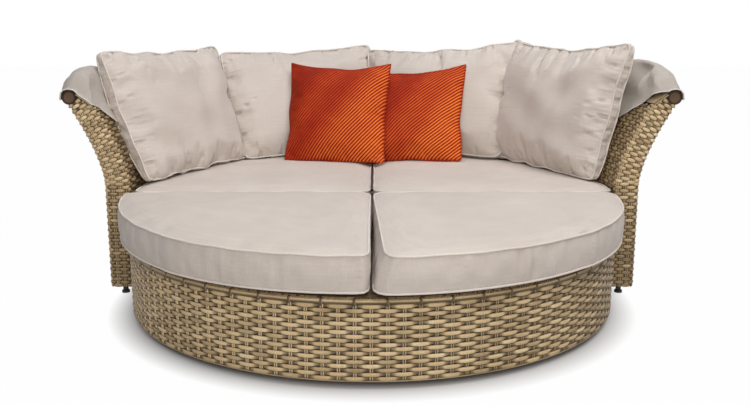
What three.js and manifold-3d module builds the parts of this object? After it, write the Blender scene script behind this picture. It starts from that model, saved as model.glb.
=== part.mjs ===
// A round wicker daybed for the garden, with a folding canopy. A curved sofa with a flared back
// makes the rear half of the circle, and a half-moon ottoman that pulls away makes the front half.
// Millimetres, +Z up, +Y to the back. The plan is a circle about the Z axis, and the finished model
// is moved so that the origin lies on the floor at the middle of its footprint.
import * as THREE from "three";
import { mergeVertices } from "three/addons/utils/BufferGeometryUtils.js";
import Module from "manifold-3d";

const wasm = await Module();
wasm.setup();

// Clearances
const seatGap = 0.3;
const padGap = 10;
const wallCushionGap = 23;
const backCushionGap = 5;
const cutOverrun = 40;

// Plan and heights of the two units
const ottomanRadius = 850;
const frontPadOverhang = 33;
const deckTop = 264;
const deckThickness = 8;
const skinThickness = 6;
const wallThickness = 74;
const sofaSkirtBottom = 30;
const ottomanSkirtBottom = 20;

// The back wall leans out above flareStart and has reached flareReach at flareHeight
const flareStart = 420;
const flareHeight = 727;
const flareReach = 130;
const flarePower = 1.5;

// Rolled rim on top of the wall
const rimReach = 55;
const rimLift = 2;
const rimRollRadius = 26;
const rimLipRadius = 6;
const rimCapThickness = 9;
const rimCapDome = 7;
const rimRollSteps = 6;

// Welded tube frames
const tubeRadius = 12.5;
const uprightRadius = 10;
const frontTubeInset = 20;
const skirtTubeLift = 3;
const frameSkinGap = 2;
const deckTubeInset = 7;
const crossBarSpacing = 200;
const ottomanBarSpacing = 450;
const postSpacing = 400;

// Feet
const footRadius = 15;
const footNeckRadius = 10;
const footPadHeight = 7;
const frontFootInset = 40;
const ottomanFrontFootReach = 680;
const ottomanSideFootReach = 500;
const ottomanBackFootReach = 80;
const sofaFootCount = 5;

// Seat cushions
const rearPadInset = 8;
const padThickness = 144;
const padBaseRound = 21;
const padBaseWidth = 34;
const padCrownHeight = 22;
const padCrownWidth = 70;
const padOuterCorner = 45;
const padCentreCorner = 70;
const padDrawIn = 5;

// Shares of the base's and the crown's width, and of their height from the bottom up
const padBaseShares = [[1, 0], [0.25, 0.25], [0, 1]];
const padCrownShares = [[0, 0], [0.14, 0.42], [0.42, 0.84], [0.96, 1]];

// Back cushions
const backCushionWidthShare = 0.702;
const backCushionHeight = 490;
const backCushionEdge = 45;
const backCushionFrontCrown = 72;
const backCushionRearCrown = 42;
const backCushionCorner = 34;
const backCushionDrawIn = 9;
const backCushionSink = 8;
const backCushionLeanAngle = 16;

// How far out from a cushion's middle its rings lie, as shares, and how full its crown is
const cushionRingShares = [0.36, 0.64, 0.86];
const cushionFullness = 0.6;

// Scatter cushions
const scatterSize = 445;
const scatterEdge = 5;
const scatterCrown = 56;
const scatterCorner = 16;
const scatterDrawIn = 17;
const scatterSink = 12;
const scatterLeanAngle = 22;
const leftScatter = { x: -174, fromWall: 368, bearingAngle: -10 };
const rightScatter = { x: 150, fromWall: 332, bearingAngle: -9 };

// Canopy bows and their pivots
const bowTubeRadius = 8;
const bowSpacing = 20;
const bowRiseAngle = 1.4;
const pivotInset = 55;
const bowTabThickness = 5;
const bowTabRadius = 11;
const bowTabHalfHeight = 7;
const bowTubeStart = 16;
const tabTubeLap = 10;
const tabClearance = 3;
const bracketThickness = 4;
const bracketHalfWidth = 12;
const pivotBoltRadius = 4;
const pivotHeadRadius = 8;
const pivotHeadHeight = 5;
const pivotNutRadius = 7.5;
const pivotNutHeight = 5;
const pivotBoltTip = 1;
const spacerRadius = 7;

// Canopy cloth, gathered over the rim and the folded bows
const clothThickness = 3;
const clothBowGap = 9;
const clothRimGap = 6;
const clothWallGap = 8;
const clothNoseLift = 5;
const clothNoseHem = 8;
const clothInnerHang = 140;
const clothOuterHang = 66;
const clothFoldHeight = 7;
const clothFoldDepth = 6;
const clothFolds = 9;
const clothNoseAngle = 8;
const clothInnerSlopeAngle = 14;
const clothOuterSlopeAngle = 18;
const clothNosePower = 0.45;

// Where points lie on the cloth's section, as shares of the height from its top down to each hem
const clothInnerShares = [1, 0.74, 0.5, 0.3, 0.12];
const clothOuterShares = [0.42, 0.58, 0.76, 1];
const clothCrestShare = 0.06;
const clothShoulderShare = 0.22;

// Counts of facets
const ringSteps = 24;
const frameSteps = 16;
const wallSteps = 6;
const tubeSides = 6;
const bowSides = 8;
const bowSteps = 24;
const barSteps = 1;
const uprightSteps = 6;
const roundSides = 12;
const boreSides = 8;
const clothSteps = 40;
const clothEndCrowding = 0.5;
const cornerSteps = 4;
const cushionCornerSteps = 2;
const padSideSteps = 4;
const padArcSteps = 12;
const cushionSideSteps = 5;
const uprightCount = 7;

// Places worked out from the sizes above
const wallInnerRadius = ottomanRadius + frontPadOverhang;
const wallMidRadius = wallInnerRadius + wallThickness / 2;
const rimRadius = wallInnerRadius + flareReach + rimReach;
const rimHeight = flareHeight + rimLift;
const deckRadius = wallInnerRadius + skinThickness;
const skinTop = rimHeight - rimRollRadius - seatGap;
const rimTop = rimHeight + rimRollRadius;
const deckTubeHeight = deckTop - deckThickness - seatGap - tubeRadius;
const sofaBaseHeight = sofaSkirtBottom + skirtTubeLift + tubeRadius;
const ottomanBaseHeight = ottomanSkirtBottom + skirtTubeLift + tubeRadius;
const ottomanBack = -seatGap - skinThickness - seatGap;
const ottomanInnerRadius = ottomanRadius - skinThickness;
const ottomanRingRadius = ottomanInnerRadius - tubeRadius - frameSkinGap;
const ottomanBackTube = ottomanBack - skinThickness - seatGap - tubeRadius;
const sofaDeckRingRadius = deckRadius - deckTubeInset - tubeRadius;
const seatHeight = deckTop + seatGap + padThickness;
const padFace = seatHeight + seatGap;
const pivotHeight = rimTop + seatGap + bracketThickness + bowTabRadius + tabClearance;
const bowRadii = { rear: rimRadius, middle: rimRadius - bowSpacing, front: rimRadius - 2 * bowSpacing };
const clothInnerRadius = bowRadii.front - bowTubeRadius - clothBowGap - clothThickness / 2;
const clothOuterRadius = bowRadii.rear + bowTubeRadius + clothBowGap + clothThickness / 2;
const rearPadRadius = wallInnerRadius - rearPadInset;
const backCushionWidth = backCushionWidthShare * wallInnerRadius;
const degree = Math.PI / 180;

const finishes = {
  wicker: { color: "#a68557", roughness: 0.75, metalness: 0 },
  wickerShade: { color: "#8d7048", roughness: 0.8, metalness: 0 },
  cap: { color: "#3d2a20", roughness: 0.6, metalness: 0 },
  tube: { color: "#4b3b2f", roughness: 0.5, metalness: 0.6 },
  foot: { color: "#1d1b19", roughness: 0.7, metalness: 0 },
  seatCloth: { color: "#cbbcae", roughness: 0.95, metalness: 0 },
  scatterCloth: { color: "#b5542a", roughness: 0.85, metalness: 0 },
  canopyCloth: { color: "#cfc6bd", roughness: 0.95, metalness: 0 },
  bow: { color: "#6d6a66", roughness: 0.4, metalness: 0.8 },
  steel: { color: "#9a9a98", roughness: 0.35, metalness: 0.9 },
};

// Geometry helpers

function positionsOnly(geometry) {
  const bare = geometry.clone();
  bare.deleteAttribute("normal");
  bare.deleteAttribute("uv");
  return mergeVertices(bare);
}

function signedVolume(geometry) {
  const place = geometry.attributes.position;
  const corners = geometry.index.array;
  const [a, b, c] = [new THREE.Vector3(), new THREE.Vector3(), new THREE.Vector3()];
  let volume = 0;
  for (let i = 0; i < corners.length; i += 3) {
    a.fromBufferAttribute(place, corners[i]);
    b.fromBufferAttribute(place, corners[i + 1]);
    c.fromBufferAttribute(place, corners[i + 2]);
    volume += a.dot(b.cross(c)) / 6;
  }
  return volume;
}

function indexedSolid(points, triangles) {
  const geometry = new THREE.BufferGeometry();
  geometry.setAttribute("position", new THREE.Float32BufferAttribute(points.flat(), 3));
  geometry.setIndex(triangles.flat());
  if (signedVolume(geometry) < 0) {
    geometry.setIndex(triangles.map(([a, b, c]) => [a, c, b]).flat());
  }
  geometry.computeVertexNormals();
  return geometry;
}

function toManifold(geometry) {
  const bare = positionsOnly(geometry);
  return new wasm.Manifold(
    new wasm.Mesh({
      numProp: 3,
      vertProperties: bare.attributes.position.array,
      triVerts: Uint32Array.from(bare.index.array),
    }),
  );
}

function toGeometry(solid) {
  const mesh = solid.getMesh();
  const geometry = new THREE.BufferGeometry();
  geometry.setAttribute("position", new THREE.BufferAttribute(mesh.vertProperties, 3));
  geometry.setIndex(new THREE.BufferAttribute(mesh.triVerts, 1));
  geometry.computeVertexNormals();
  return geometry;
}

function joined(geometries) {
  return toGeometry(geometries.map(toManifold).reduce((sum, next) => sum.add(next)));
}

function cutFrom(body, cutters) {
  const rest = cutters.map(toManifold).reduce((left, next) => left.subtract(next), toManifold(body));
  return toGeometry(rest);
}

function circleLoop(centreRadius, centreHeight, radius, sides) {
  return Array.from({ length: sides }, (_, i) => {
    const turn = (i * 2 * Math.PI) / sides;
    return [centreRadius + radius * Math.cos(turn), centreHeight + radius * Math.sin(turn)];
  });
}

function loopArea(loop) {
  return loop.reduce((sum, [r, z], i) => {
    const [nextR, nextZ] = loop[(i + 1) % loop.length];
    return sum + (r * nextZ - nextR * z) / 2;
  }, 0);
}

// A closed section of [radius, height] points, with holes, carried part of the way round the Z axis
function sweptRound(section, holes, startAngle, endAngle, steps) {
  const outer = loopArea(section) > 0 ? section : [...section].reverse();
  const inner = holes.map((hole) => (loopArea(hole) < 0 ? hole : [...hole].reverse()));
  const loops = [outer, ...inner];
  const flat = loops.flat();
  const points = [];
  const triangles = [];
  for (let i = 0; i <= steps; i += 1) {
    const angle = startAngle + ((endAngle - startAngle) * i) / steps;
    flat.forEach(([r, z]) => points.push([r * Math.cos(angle), r * Math.sin(angle), z]));
  }
  let first = 0;
  loops.forEach((loop) => {
    for (let i = 0; i < steps; i += 1) {
      for (let k = 0; k < loop.length; k += 1) {
        const a = i * flat.length + first + k;
        const b = i * flat.length + first + ((k + 1) % loop.length);
        triangles.push([a, b, b + flat.length], [a, b + flat.length, a + flat.length]);
      }
    }
    first += loop.length;
  });
  const asVectors = (loop) => loop.map(([r, z]) => new THREE.Vector2(r, z));
  const faces = THREE.ShapeUtils.triangulateShape(asVectors(outer), inner.map(asVectors));
  faces.forEach((face) => {
    const [a, b, c] = loopArea(face.map((k) => flat[k])) > 0 ? face : [...face].reverse();
    const last = steps * flat.length;
    triangles.push([c, b, a], [last + a, last + b, last + c]);
  });
  return indexedSolid(points, triangles);
}

class RingCurve extends THREE.Curve {
  constructor(radius, height, startAngle, endAngle) {
    super();
    Object.assign(this, { radius, height, startAngle, endAngle });
  }

  getPoint(t, target = new THREE.Vector3()) {
    const angle = this.startAngle + (this.endAngle - this.startAngle) * t;
    return target.set(this.radius * Math.cos(angle), this.radius * Math.sin(angle), this.height);
  }
}

function tubeAlong(curve, radius, steps, sides) {
  const section = new THREE.Shape().absarc(0, 0, radius, 0, 2 * Math.PI);
  return new THREE.ExtrudeGeometry(section, { steps, curveSegments: sides / 2, extrudePath: curve });
}

function straightTube(from, to, radius) {
  const line = new THREE.LineCurve3(new THREE.Vector3(...from), new THREE.Vector3(...to));
  return tubeAlong(line, radius, barSteps, tubeSides);
}

function ringTube(radius, height, startAngle, endAngle, steps) {
  return tubeAlong(new RingCurve(radius, height, startAngle, endAngle), tubeRadius, steps, tubeSides);
}

// Rings of equally many points, closed by one middle point below the first and one above the last
function stackedRings(rings, bottomPole, topPole) {
  const count = rings[0].length;
  const points = [...rings.flat(), bottomPole, topPole];
  const bottom = rings.length * count;
  const triangles = [];
  for (let k = 0; k < count; k += 1) {
    const next = (k + 1) % count;
    const last = (rings.length - 1) * count;
    triangles.push([bottom, next, k], [bottom + 1, last + k, last + next]);
    for (let i = 0; i + 1 < rings.length; i += 1) {
      const row = i * count;
      const above = row + count;
      triangles.push([row + k, row + next, above + next], [row + k, above + next, above + k]);
    }
  }
  return indexedSolid(points, triangles);
}

function slab(shape, thickness) {
  const settings = { depth: thickness, bevelEnabled: false, curveSegments: ringSteps };
  return new THREE.ExtrudeGeometry(shape, settings);
}

function box(low, high) {
  const size = high.map((value, i) => value - low[i]);
  const geometry = new THREE.BoxGeometry(...size);
  return geometry.translate(...high.map((value, i) => (value + low[i]) / 2));
}

// A disc or rod along the X axis
function rodAlongX(fromX, toX, radius, sides) {
  const rod = new THREE.CylinderGeometry(radius, radius, Math.abs(toX - fromX), sides);
  return rod.rotateZ(Math.PI / 2).translate((fromX + toX) / 2, 0, 0);
}

function part(name, geometry, finish) {
  const mesh = new THREE.Mesh(geometry, new THREE.MeshStandardMaterial(finish));
  mesh.name = name;
  return mesh;
}

function placed(mesh, x, y, z) {
  mesh.position.set(x, y, z);
  return mesh;
}

// The back wall

function flareAt(height, reach, topHeight) {
  const share = Math.max(0, (height - flareStart) / (topHeight - flareStart));
  return reach * share ** flarePower;
}

function wallInnerAt(height) {
  return wallInnerRadius + flareAt(height, flareReach, flareHeight);
}

function wallOuterAt(height) {
  return wallInnerAt(height) + wallThickness;
}

// Heights from bottom to top, close together only where the wall bends
function wallHeights(bottom) {
  const bend = Math.max(bottom, flareStart);
  const step = (skinTop - bend) / (wallSteps - 1);
  const upper = Array.from({ length: wallSteps }, (_, i) => bend + step * i);
  return bottom < flareStart ? [bottom, ...upper] : upper;
}

function skinSection(heights, radiusAt, thickness) {
  const outer = heights.map((z) => [radiusAt(z) + thickness, z]);
  const inner = heights.map((z) => [radiusAt(z), z]).reverse();
  return [...outer, ...inner];
}

function backInnerWeave() {
  const section = skinSection(wallHeights(deckTop + seatGap), wallInnerAt, skinThickness);
  return part("back_inner_weave", sweptRound(section, [], 0, Math.PI, ringSteps), finishes.wickerShade);
}

function backOuterWeave() {
  const inside = (z) => wallOuterAt(z) - skinThickness;
  const section = skinSection(wallHeights(sofaSkirtBottom), inside, skinThickness);
  return part("back_outer_weave", sweptRound(section, [], 0, Math.PI, ringSteps), finishes.wicker);
}

function armEndWeave(name, side) {
  const heights = wallHeights(sofaSkirtBottom);
  const outline = skinSection(heights, wallInnerAt, wallThickness);
  const shape = new THREE.Shape(outline.map(([r, z]) => new THREE.Vector2(side * r, z)));
  const plate = slab(shape, skinThickness).rotateX(Math.PI / 2);
  return placed(part(name, plate, finishes.wicker), 0, -seatGap, 0);
}

// The rim's section: a small lip over the inner weave, run into the roll along their common tangent
function rimSection() {
  const lip = { r: wallInnerAt(skinTop) + rimLipRadius, z: skinTop + seatGap + rimLipRadius };
  const [alongR, alongZ] = [rimRadius - lip.r, rimHeight - lip.z];
  const apart = Math.hypot(alongR, alongZ);
  const tangent = Math.atan2(alongZ, alongR) + Math.acos((rimLipRadius - rimRollRadius) / apart);
  const lipTurn = (-Math.PI / 2 + 2 * Math.PI - tangent) / cornerSteps;
  const points = [];
  for (let i = 0; i <= cornerSteps; i += 1) {
    const turn = -Math.PI / 2 - lipTurn * i;
    points.push([lip.r + rimLipRadius * Math.cos(turn), lip.z + rimLipRadius * Math.sin(turn)]);
  }
  const turns = [tangent, (tangent + Math.PI / 2) / 2];
  for (let i = 0; i <= rimRollSteps; i += 1) turns.push(Math.PI / 2 - (Math.PI * i) / rimRollSteps);
  turns.forEach((turn) => {
    const [across, up] = [rimRollRadius * Math.cos(turn), rimRollRadius * Math.sin(turn)];
    points.push([rimRadius + across, rimHeight + up]);
  });
  return points;
}

function uprightCurve(angle) {
  const pointAt = (r, z) => new THREE.Vector3(r * Math.cos(angle), r * Math.sin(angle), z);
  const points = [pointAt(wallMidRadius, sofaBaseHeight)];
  for (let i = 0; i <= wallSteps; i += 1) {
    const z = flareStart + ((rimHeight - flareStart) * i) / wallSteps;
    points.push(pointAt(wallMidRadius + flareAt(z, rimRadius - wallMidRadius, rimHeight), z));
  }
  return new THREE.CatmullRomCurve3(points);
}

function uprightAngles() {
  const first = Math.asin(frontTubeInset / wallMidRadius);
  const span = Math.PI - 2 * first;
  return Array.from({ length: uprightCount }, (_, i) => first + (span * i) / (uprightCount - 1));
}

function backRimWeave() {
  const bore = (tubeRadius + seatGap) / Math.cos(Math.PI / boreSides);
  const hole = circleLoop(rimRadius, rimHeight, bore, boreSides);
  const rim = sweptRound(rimSection(), [hole], 0, Math.PI, ringSteps);
  const slotRadius = (uprightRadius + seatGap) / Math.cos(Math.PI / tubeSides);
  const slots = uprightAngles().map((angle) => {
    return tubeAlong(uprightCurve(angle), slotRadius, uprightSteps, tubeSides);
  });
  return part("back_rim_weave", cutFrom(rim, slots), finishes.wicker);
}

function rimEndCap(name, side) {
  const outline = new THREE.Shape(rimSection().map(([r, z]) => new THREE.Vector2(side * r, z)));
  const bevel = rimCapDome / 2;
  const plate = new THREE.ExtrudeGeometry(outline, {
    depth: rimCapThickness - rimCapDome,
    bevelEnabled: true,
    bevelThickness: bevel,
    bevelSize: bevel,
    bevelOffset: -bevel,
    bevelSegments: 1,
  });
  plate.rotateX(Math.PI / 2);
  return placed(part(name, plate, finishes.cap), 0, -seatGap - bevel, 0);
}

// Frames, decks and feet

// Bars at equal distances either side of the middle, as far out as the ring allows
function barPlaces(spacing, ringRadius) {
  const places = [0];
  for (let x = spacing; x < ringRadius - tubeRadius; x += spacing) places.push(x, -x);
  return places;
}

function sofaFrame() {
  const start = seatGap / wallMidRadius;
  const end = Math.PI - start;
  const pieces = [
    ringTube(wallMidRadius, sofaBaseHeight, start, end, frameSteps),
    ringTube(sofaDeckRingRadius, deckTubeHeight, start, end, frameSteps),
    ringTube(rimRadius, rimHeight, 0, Math.PI, ringSteps),
  ];
  const frontTube = (x, z) => [x, frontTubeInset, z];
  [sofaBaseHeight, deckTubeHeight].forEach((z) => {
    pieces.push(straightTube(frontTube(-wallMidRadius, z), frontTube(wallMidRadius, z), tubeRadius));
  });
  uprightAngles().forEach((angle) => {
    const [across, back] = [Math.cos(angle), Math.sin(angle)];
    pieces.push(tubeAlong(uprightCurve(angle), uprightRadius, uprightSteps, tubeSides));
    const inner = [sofaDeckRingRadius * across, sofaDeckRingRadius * back, deckTubeHeight];
    const outer = [wallMidRadius * across, wallMidRadius * back, deckTubeHeight];
    pieces.push(straightTube(inner, outer, tubeRadius));
  });
  barPlaces(crossBarSpacing, sofaDeckRingRadius).forEach((x) => {
    const reach = Math.sqrt(sofaDeckRingRadius ** 2 - x ** 2);
    pieces.push(straightTube(frontTube(x, deckTubeHeight), [x, reach, deckTubeHeight], tubeRadius));
  });
  [-postSpacing, 0, postSpacing].forEach((x) => {
    pieces.push(straightTube(frontTube(x, sofaBaseHeight), frontTube(x, deckTubeHeight), tubeRadius));
  });
  return part("sofa_frame", joined(pieces), finishes.tube);
}

function ottomanFrame() {
  const turn = Math.asin(-ottomanBackTube / ottomanRingRadius);
  const [start, end] = [Math.PI + turn, 2 * Math.PI - turn];
  const reachAt = (x) => -Math.sqrt(ottomanRingRadius ** 2 - x ** 2);
  const half = ottomanRingRadius * Math.cos(turn);
  const pieces = [];
  const tube = (from, to) => pieces.push(straightTube(from, to, tubeRadius));
  const bar = (x, z) => tube([x, ottomanBackTube, z], [x, reachAt(x), z]);
  const post = (x, y) => tube([x, y, ottomanBaseHeight], [x, y, deckTubeHeight]);
  [ottomanBaseHeight, deckTubeHeight].forEach((z) => {
    pieces.push(ringTube(ottomanRingRadius, z, start, end, frameSteps));
    tube([-half, ottomanBackTube, z], [half, ottomanBackTube, z]);
  });
  barPlaces(crossBarSpacing, ottomanRingRadius).forEach((x) => bar(x, deckTubeHeight));
  [-ottomanBarSpacing, 0, ottomanBarSpacing].forEach((x) => {
    bar(x, ottomanBaseHeight);
    post(x, ottomanBackTube);
    post(x, reachAt(x));
  });
  [-half, half].forEach((x) => post(x, ottomanBackTube));
  return part("ottoman_frame", joined(pieces), finishes.tube);
}

// Half a disc with its straight edge along X
function halfDisc(radius, edge, side) {
  const turn = Math.asin(Math.abs(edge) / radius);
  const [from, to] = side > 0 ? [turn, Math.PI - turn] : [Math.PI + turn, 2 * Math.PI - turn];
  return new THREE.Shape().absarc(0, 0, radius, from, to);
}

function sofaDeck() {
  const plate = slab(halfDisc(deckRadius, 0, 1), deckThickness);
  return placed(part("sofa_deck", plate, finishes.wickerShade), 0, 0, deckTop - deckThickness);
}

function ottomanDeck() {
  const radius = ottomanInnerRadius * Math.cos(Math.PI / ringSteps / 2) - seatGap;
  const plate = slab(halfDisc(radius, ottomanBack - skinThickness - seatGap, -1), deckThickness);
  return placed(part("ottoman_deck", plate, finishes.wickerShade), 0, 0, deckTop - deckThickness);
}

function sofaFrontApron() {
  const half = wallInnerRadius - seatGap;
  const low = [-half, -seatGap - skinThickness, sofaSkirtBottom];
  const high = [half, -seatGap, deckTop];
  return part("sofa_front_apron", box(low, high), finishes.wickerShade);
}

function ottomanSkirtWeave() {
  const turn = Math.asin(-ottomanBack / ottomanInnerRadius);
  const section = [
    [ottomanInnerRadius, ottomanSkirtBottom],
    [ottomanRadius, ottomanSkirtBottom],
    [ottomanRadius, deckTop],
    [ottomanInnerRadius, deckTop],
  ];
  const skirt = sweptRound(section, [], Math.PI + turn, 2 * Math.PI - turn, ringSteps);
  return part("ottoman_skirt_weave", skirt, finishes.wicker);
}

function ottomanBackWeave() {
  const inside = Math.sqrt(ottomanInnerRadius ** 2 - (ottomanBack - skinThickness) ** 2);
  const half = inside * Math.cos(Math.PI / ringSteps / 2) - seatGap;
  const low = [-half, ottomanBack - skinThickness, ottomanSkirtBottom];
  return part("ottoman_back_weave", box(low, [half, ottomanBack, deckTop]), finishes.wickerShade);
}

// A glide: a broad pad on the floor under a neck that meets the tube above it
function footGeometry(height) {
  const profile = [
    new THREE.Vector2(0, 0),
    new THREE.Vector2(footRadius, 0),
    new THREE.Vector2(footRadius, footPadHeight),
    new THREE.Vector2(footNeckRadius, footPadHeight + footRadius - footNeckRadius),
    new THREE.Vector2(footNeckRadius, height),
    new THREE.Vector2(0, height),
  ];
  return new THREE.LatheGeometry(profile, roundSides).rotateX(Math.PI / 2);
}

function sofaFeet() {
  const front = Math.asin(frontFootInset / wallMidRadius);
  const height = sofaBaseHeight - tubeRadius - seatGap;
  const span = Math.PI - 2 * front;
  return Array.from({ length: sofaFootCount }, (_, i) => {
    const angle = front + (span * i) / (sofaFootCount - 1);
    const foot = part(`sofa_foot_${i + 1}`, footGeometry(height), finishes.foot);
    return placed(foot, wallMidRadius * Math.cos(angle), wallMidRadius * Math.sin(angle), 0);
  });
}

function ottomanFeet() {
  const height = ottomanBaseHeight - tubeRadius - seatGap;
  const places = [
    [0, -ottomanFrontFootReach],
    [-ottomanBarSpacing, -ottomanSideFootReach],
    [ottomanBarSpacing, -ottomanSideFootReach],
    [-ottomanBarSpacing, -ottomanBackFootReach],
    [ottomanBarSpacing, -ottomanBackFootReach],
  ];
  return places.map(([x, y], i) => {
    return placed(part(`ottoman_foot_${i + 1}`, footGeometry(height), finishes.foot), x, y, 0);
  });
}

// Seat cushions

// The outline of a quarter-circle cushion with rounded corners, in the quarter where x and y are
// positive. Its straight sides are drawn in a little between their corners.
function quarterOutline(radius) {
  const edge = padGap / 2;
  const reach = Math.sqrt((radius - padOuterCorner) ** 2 - (edge + padOuterCorner) ** 2);
  const arcStart = Math.atan2(edge + padOuterCorner, reach);
  const points = [];
  const corner = (x, y, size, from, to) => {
    for (let i = 0; i <= cornerSteps; i += 1) {
      const turn = from + ((to - from) * i) / cornerSteps;
      points.push([x + size * Math.cos(turn), y + size * Math.sin(turn)]);
    }
  };
  const side = ([fromX, fromY], [toX, toY], [inX, inY]) => {
    for (let i = 1; i < padSideSteps; i += 1) {
      const share = i / padSideSteps;
      const draw = padDrawIn * Math.sin(Math.PI * share);
      const [x, y] = [fromX + (toX - fromX) * share, fromY + (toY - fromY) * share];
      points.push([x + inX * draw, y + inY * draw]);
    }
  };
  const centre = edge + padCentreCorner;
  corner(centre, centre, padCentreCorner, Math.PI, 1.5 * Math.PI);
  side([centre, edge], [reach, edge], [0, 1]);
  corner(reach, edge + padOuterCorner, padOuterCorner, -Math.PI / 2, arcStart);
  for (let i = 1; i < padArcSteps; i += 1) {
    const turn = arcStart + ((Math.PI / 2 - 2 * arcStart) * i) / padArcSteps;
    points.push([radius * Math.cos(turn), radius * Math.sin(turn)]);
  }
  corner(edge + padOuterCorner, reach, padOuterCorner, Math.PI / 2 - arcStart, Math.PI);
  side([edge, reach], [edge, centre], [1, 0]);
  return points;
}

// The same outline drawn in towards its middle, so that its straight sides move in by a distance
function drawnIn(outline, middle, distance) {
  const share = 1 - distance / middle;
  return outline.map(([x, y]) => [middle + (x - middle) * share, middle + (y - middle) * share]);
}

function seatCushion(name, radius, signX, signY) {
  const outline = quarterOutline(radius);
  const bottom = deckTop + seatGap;
  const crownBase = seatHeight - padCrownHeight;
  const levels = [
    ...padBaseShares.map(([inward, up]) => [padBaseWidth * inward, bottom + padBaseRound * up]),
    ...padCrownShares.map(([inward, up]) => [padCrownWidth * inward, crownBase + padCrownHeight * up]),
  ];
  const middle = radius / 2;
  const rings = levels.map(([inset, z]) => {
    return drawnIn(outline, middle, inset).map(([x, y]) => [signX * x, signY * y, z]);
  });
  const pole = [signX * middle, signY * middle];
  const pad = stackedRings(rings, [...pole, bottom], [...pole, seatHeight]);
  return part(name, pad, finishes.seatCloth);
}

// Back and scatter cushions: a drawn-in square outline that swells to a crown on both faces

function cushionOutline(width, height, corner, drawIn) {
  const [halfX, halfZ] = [width / 2, height / 2];
  const corners = [[1, 1], [-1, 1], [-1, -1], [1, -1]];
  const points = [];
  corners.forEach(([signX, signZ], c) => {
    for (let i = 0; i <= cushionCornerSteps; i += 1) {
      const angle = (Math.PI / 2) * (c + i / cushionCornerSteps);
      points.push([
        signX * (halfX - corner) + corner * Math.cos(angle),
        signZ * (halfZ - corner) + corner * Math.sin(angle),
      ]);
    }
    const from = points[points.length - 1];
    const alongX = signX !== corners[(c + 1) % corners.length][0];
    const to = alongX ? [-from[0], from[1]] : [from[0], -from[1]];
    for (let i = 1; i < cushionSideSteps; i += 1) {
      const share = i / cushionSideSteps;
      const draw = drawIn * Math.sin(Math.PI * share);
      const x = from[0] + (to[0] - from[0]) * share;
      const z = from[1] + (to[1] - from[1]) * share;
      points.push(alongX ? [x, z - Math.sign(z) * draw] : [x - Math.sign(x) * draw, z]);
    }
  });
  return points;
}

function crownedCushion({ width, height, edge, frontCrown, rearCrown, corner, drawIn }) {
  const outline = cushionOutline(width, height, corner, drawIn);
  const swell = (x, z) => {
    return (Math.cos((Math.PI * x) / width) * Math.cos((Math.PI * z) / height)) ** cushionFullness;
  };
  const ring = (share, face, crown) => {
    return outline.map(([x, z]) => {
      const [across, up] = [x * share, z * share];
      const depth = edge / 2 + (crown === 0 ? 0 : crown * swell(across, up));
      return [across, face * depth, up + height / 2];
    });
  };
  const rings = [
    ...cushionRingShares.map((share) => ring(share, -1, frontCrown)),
    ring(1, -1, 0),
    ring(1, 1, 0),
    ...[...cushionRingShares].reverse().map((share) => ring(share, 1, rearCrown)),
  ];
  const frontPole = [0, -edge / 2 - frontCrown, height / 2];
  const rearPole = [0, edge / 2 + rearCrown, height / 2];
  return stackedRings(rings, frontPole, rearPole);
}

// Trims a leaning cushion flat where it bears on the seat cushions
function seated(mesh, reach) {
  mesh.updateMatrix();
  const cutter = box([-reach, -reach, padFace - cutOverrun - reach], [reach, reach, padFace]);
  cutter.translate(mesh.position.x, mesh.position.y, 0);
  cutter.applyMatrix4(mesh.matrix.clone().invert());
  mesh.geometry = cutFrom(mesh.geometry, [cutter]);
  return mesh;
}

function leaning(mesh, x, y, z, lean, bearing) {
  mesh.rotation.set(-lean * degree, 0, bearing * degree, "ZXY");
  return placed(mesh, x, y, z);
}

function backCushion(name, order, side) {
  const lean = backCushionLeanAngle * degree;
  const rearEdge = Math.sqrt((wallInnerRadius - wallCushionGap) ** 2 - (backCushionWidth / 2) ** 2);
  const distance = rearEdge - (backCushionEdge / 2) * Math.cos(lean);
  const frontEdge = rearEdge - backCushionEdge * Math.cos(lean);
  const halfTurn = Math.atan2(backCushionWidth / 2 + backCushionGap / 2, frontEdge);
  const bearing = side * (2 * order + 1) * halfTurn;
  const drop = (backCushionEdge / 2) * Math.sin(lean);
  const cushion = part(
    name,
    crownedCushion({
      width: backCushionWidth,
      height: backCushionHeight,
      edge: backCushionEdge,
      frontCrown: backCushionFrontCrown,
      rearCrown: backCushionRearCrown,
      corner: backCushionCorner,
      drawIn: backCushionDrawIn,
    }),
    finishes.seatCloth,
  );
  const [x, y] = [-distance * Math.sin(bearing), distance * Math.cos(bearing)];
  leaning(cushion, x, y, padFace + drop - backCushionSink, backCushionLeanAngle, bearing / degree);
  return seated(cushion, backCushionWidth);
}

function scatterCushion(name, place) {
  const cushion = part(
    name,
    crownedCushion({
      width: scatterSize,
      height: scatterSize,
      edge: scatterEdge,
      frontCrown: scatterCrown,
      rearCrown: scatterCrown,
      corner: scatterCorner,
      drawIn: scatterDrawIn,
    }),
    finishes.scatterCloth,
  );
  const lift = (scatterEdge / 2) * Math.sin(scatterLeanAngle * degree);
  const y = wallInnerRadius - place.fromWall;
  leaning(cushion, place.x, y, padFace + lift - scatterSink, scatterLeanAngle, place.bearingAngle);
  return seated(cushion, scatterSize);
}

// Canopy

function pivotX(radius) {
  return Math.sqrt(radius ** 2 - pivotInset ** 2);
}

const seatDrop = pivotHeight - bowTubeRadius - seatGap - rimTop;
const seatTurn = Math.asin(seatDrop / (bowRadii.rear - pivotInset));
const bowTurns = {
  rear: -seatTurn,
  middle: -seatTurn + bowRiseAngle * degree,
  front: -seatTurn + 2 * bowRiseAngle * degree,
};

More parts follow.
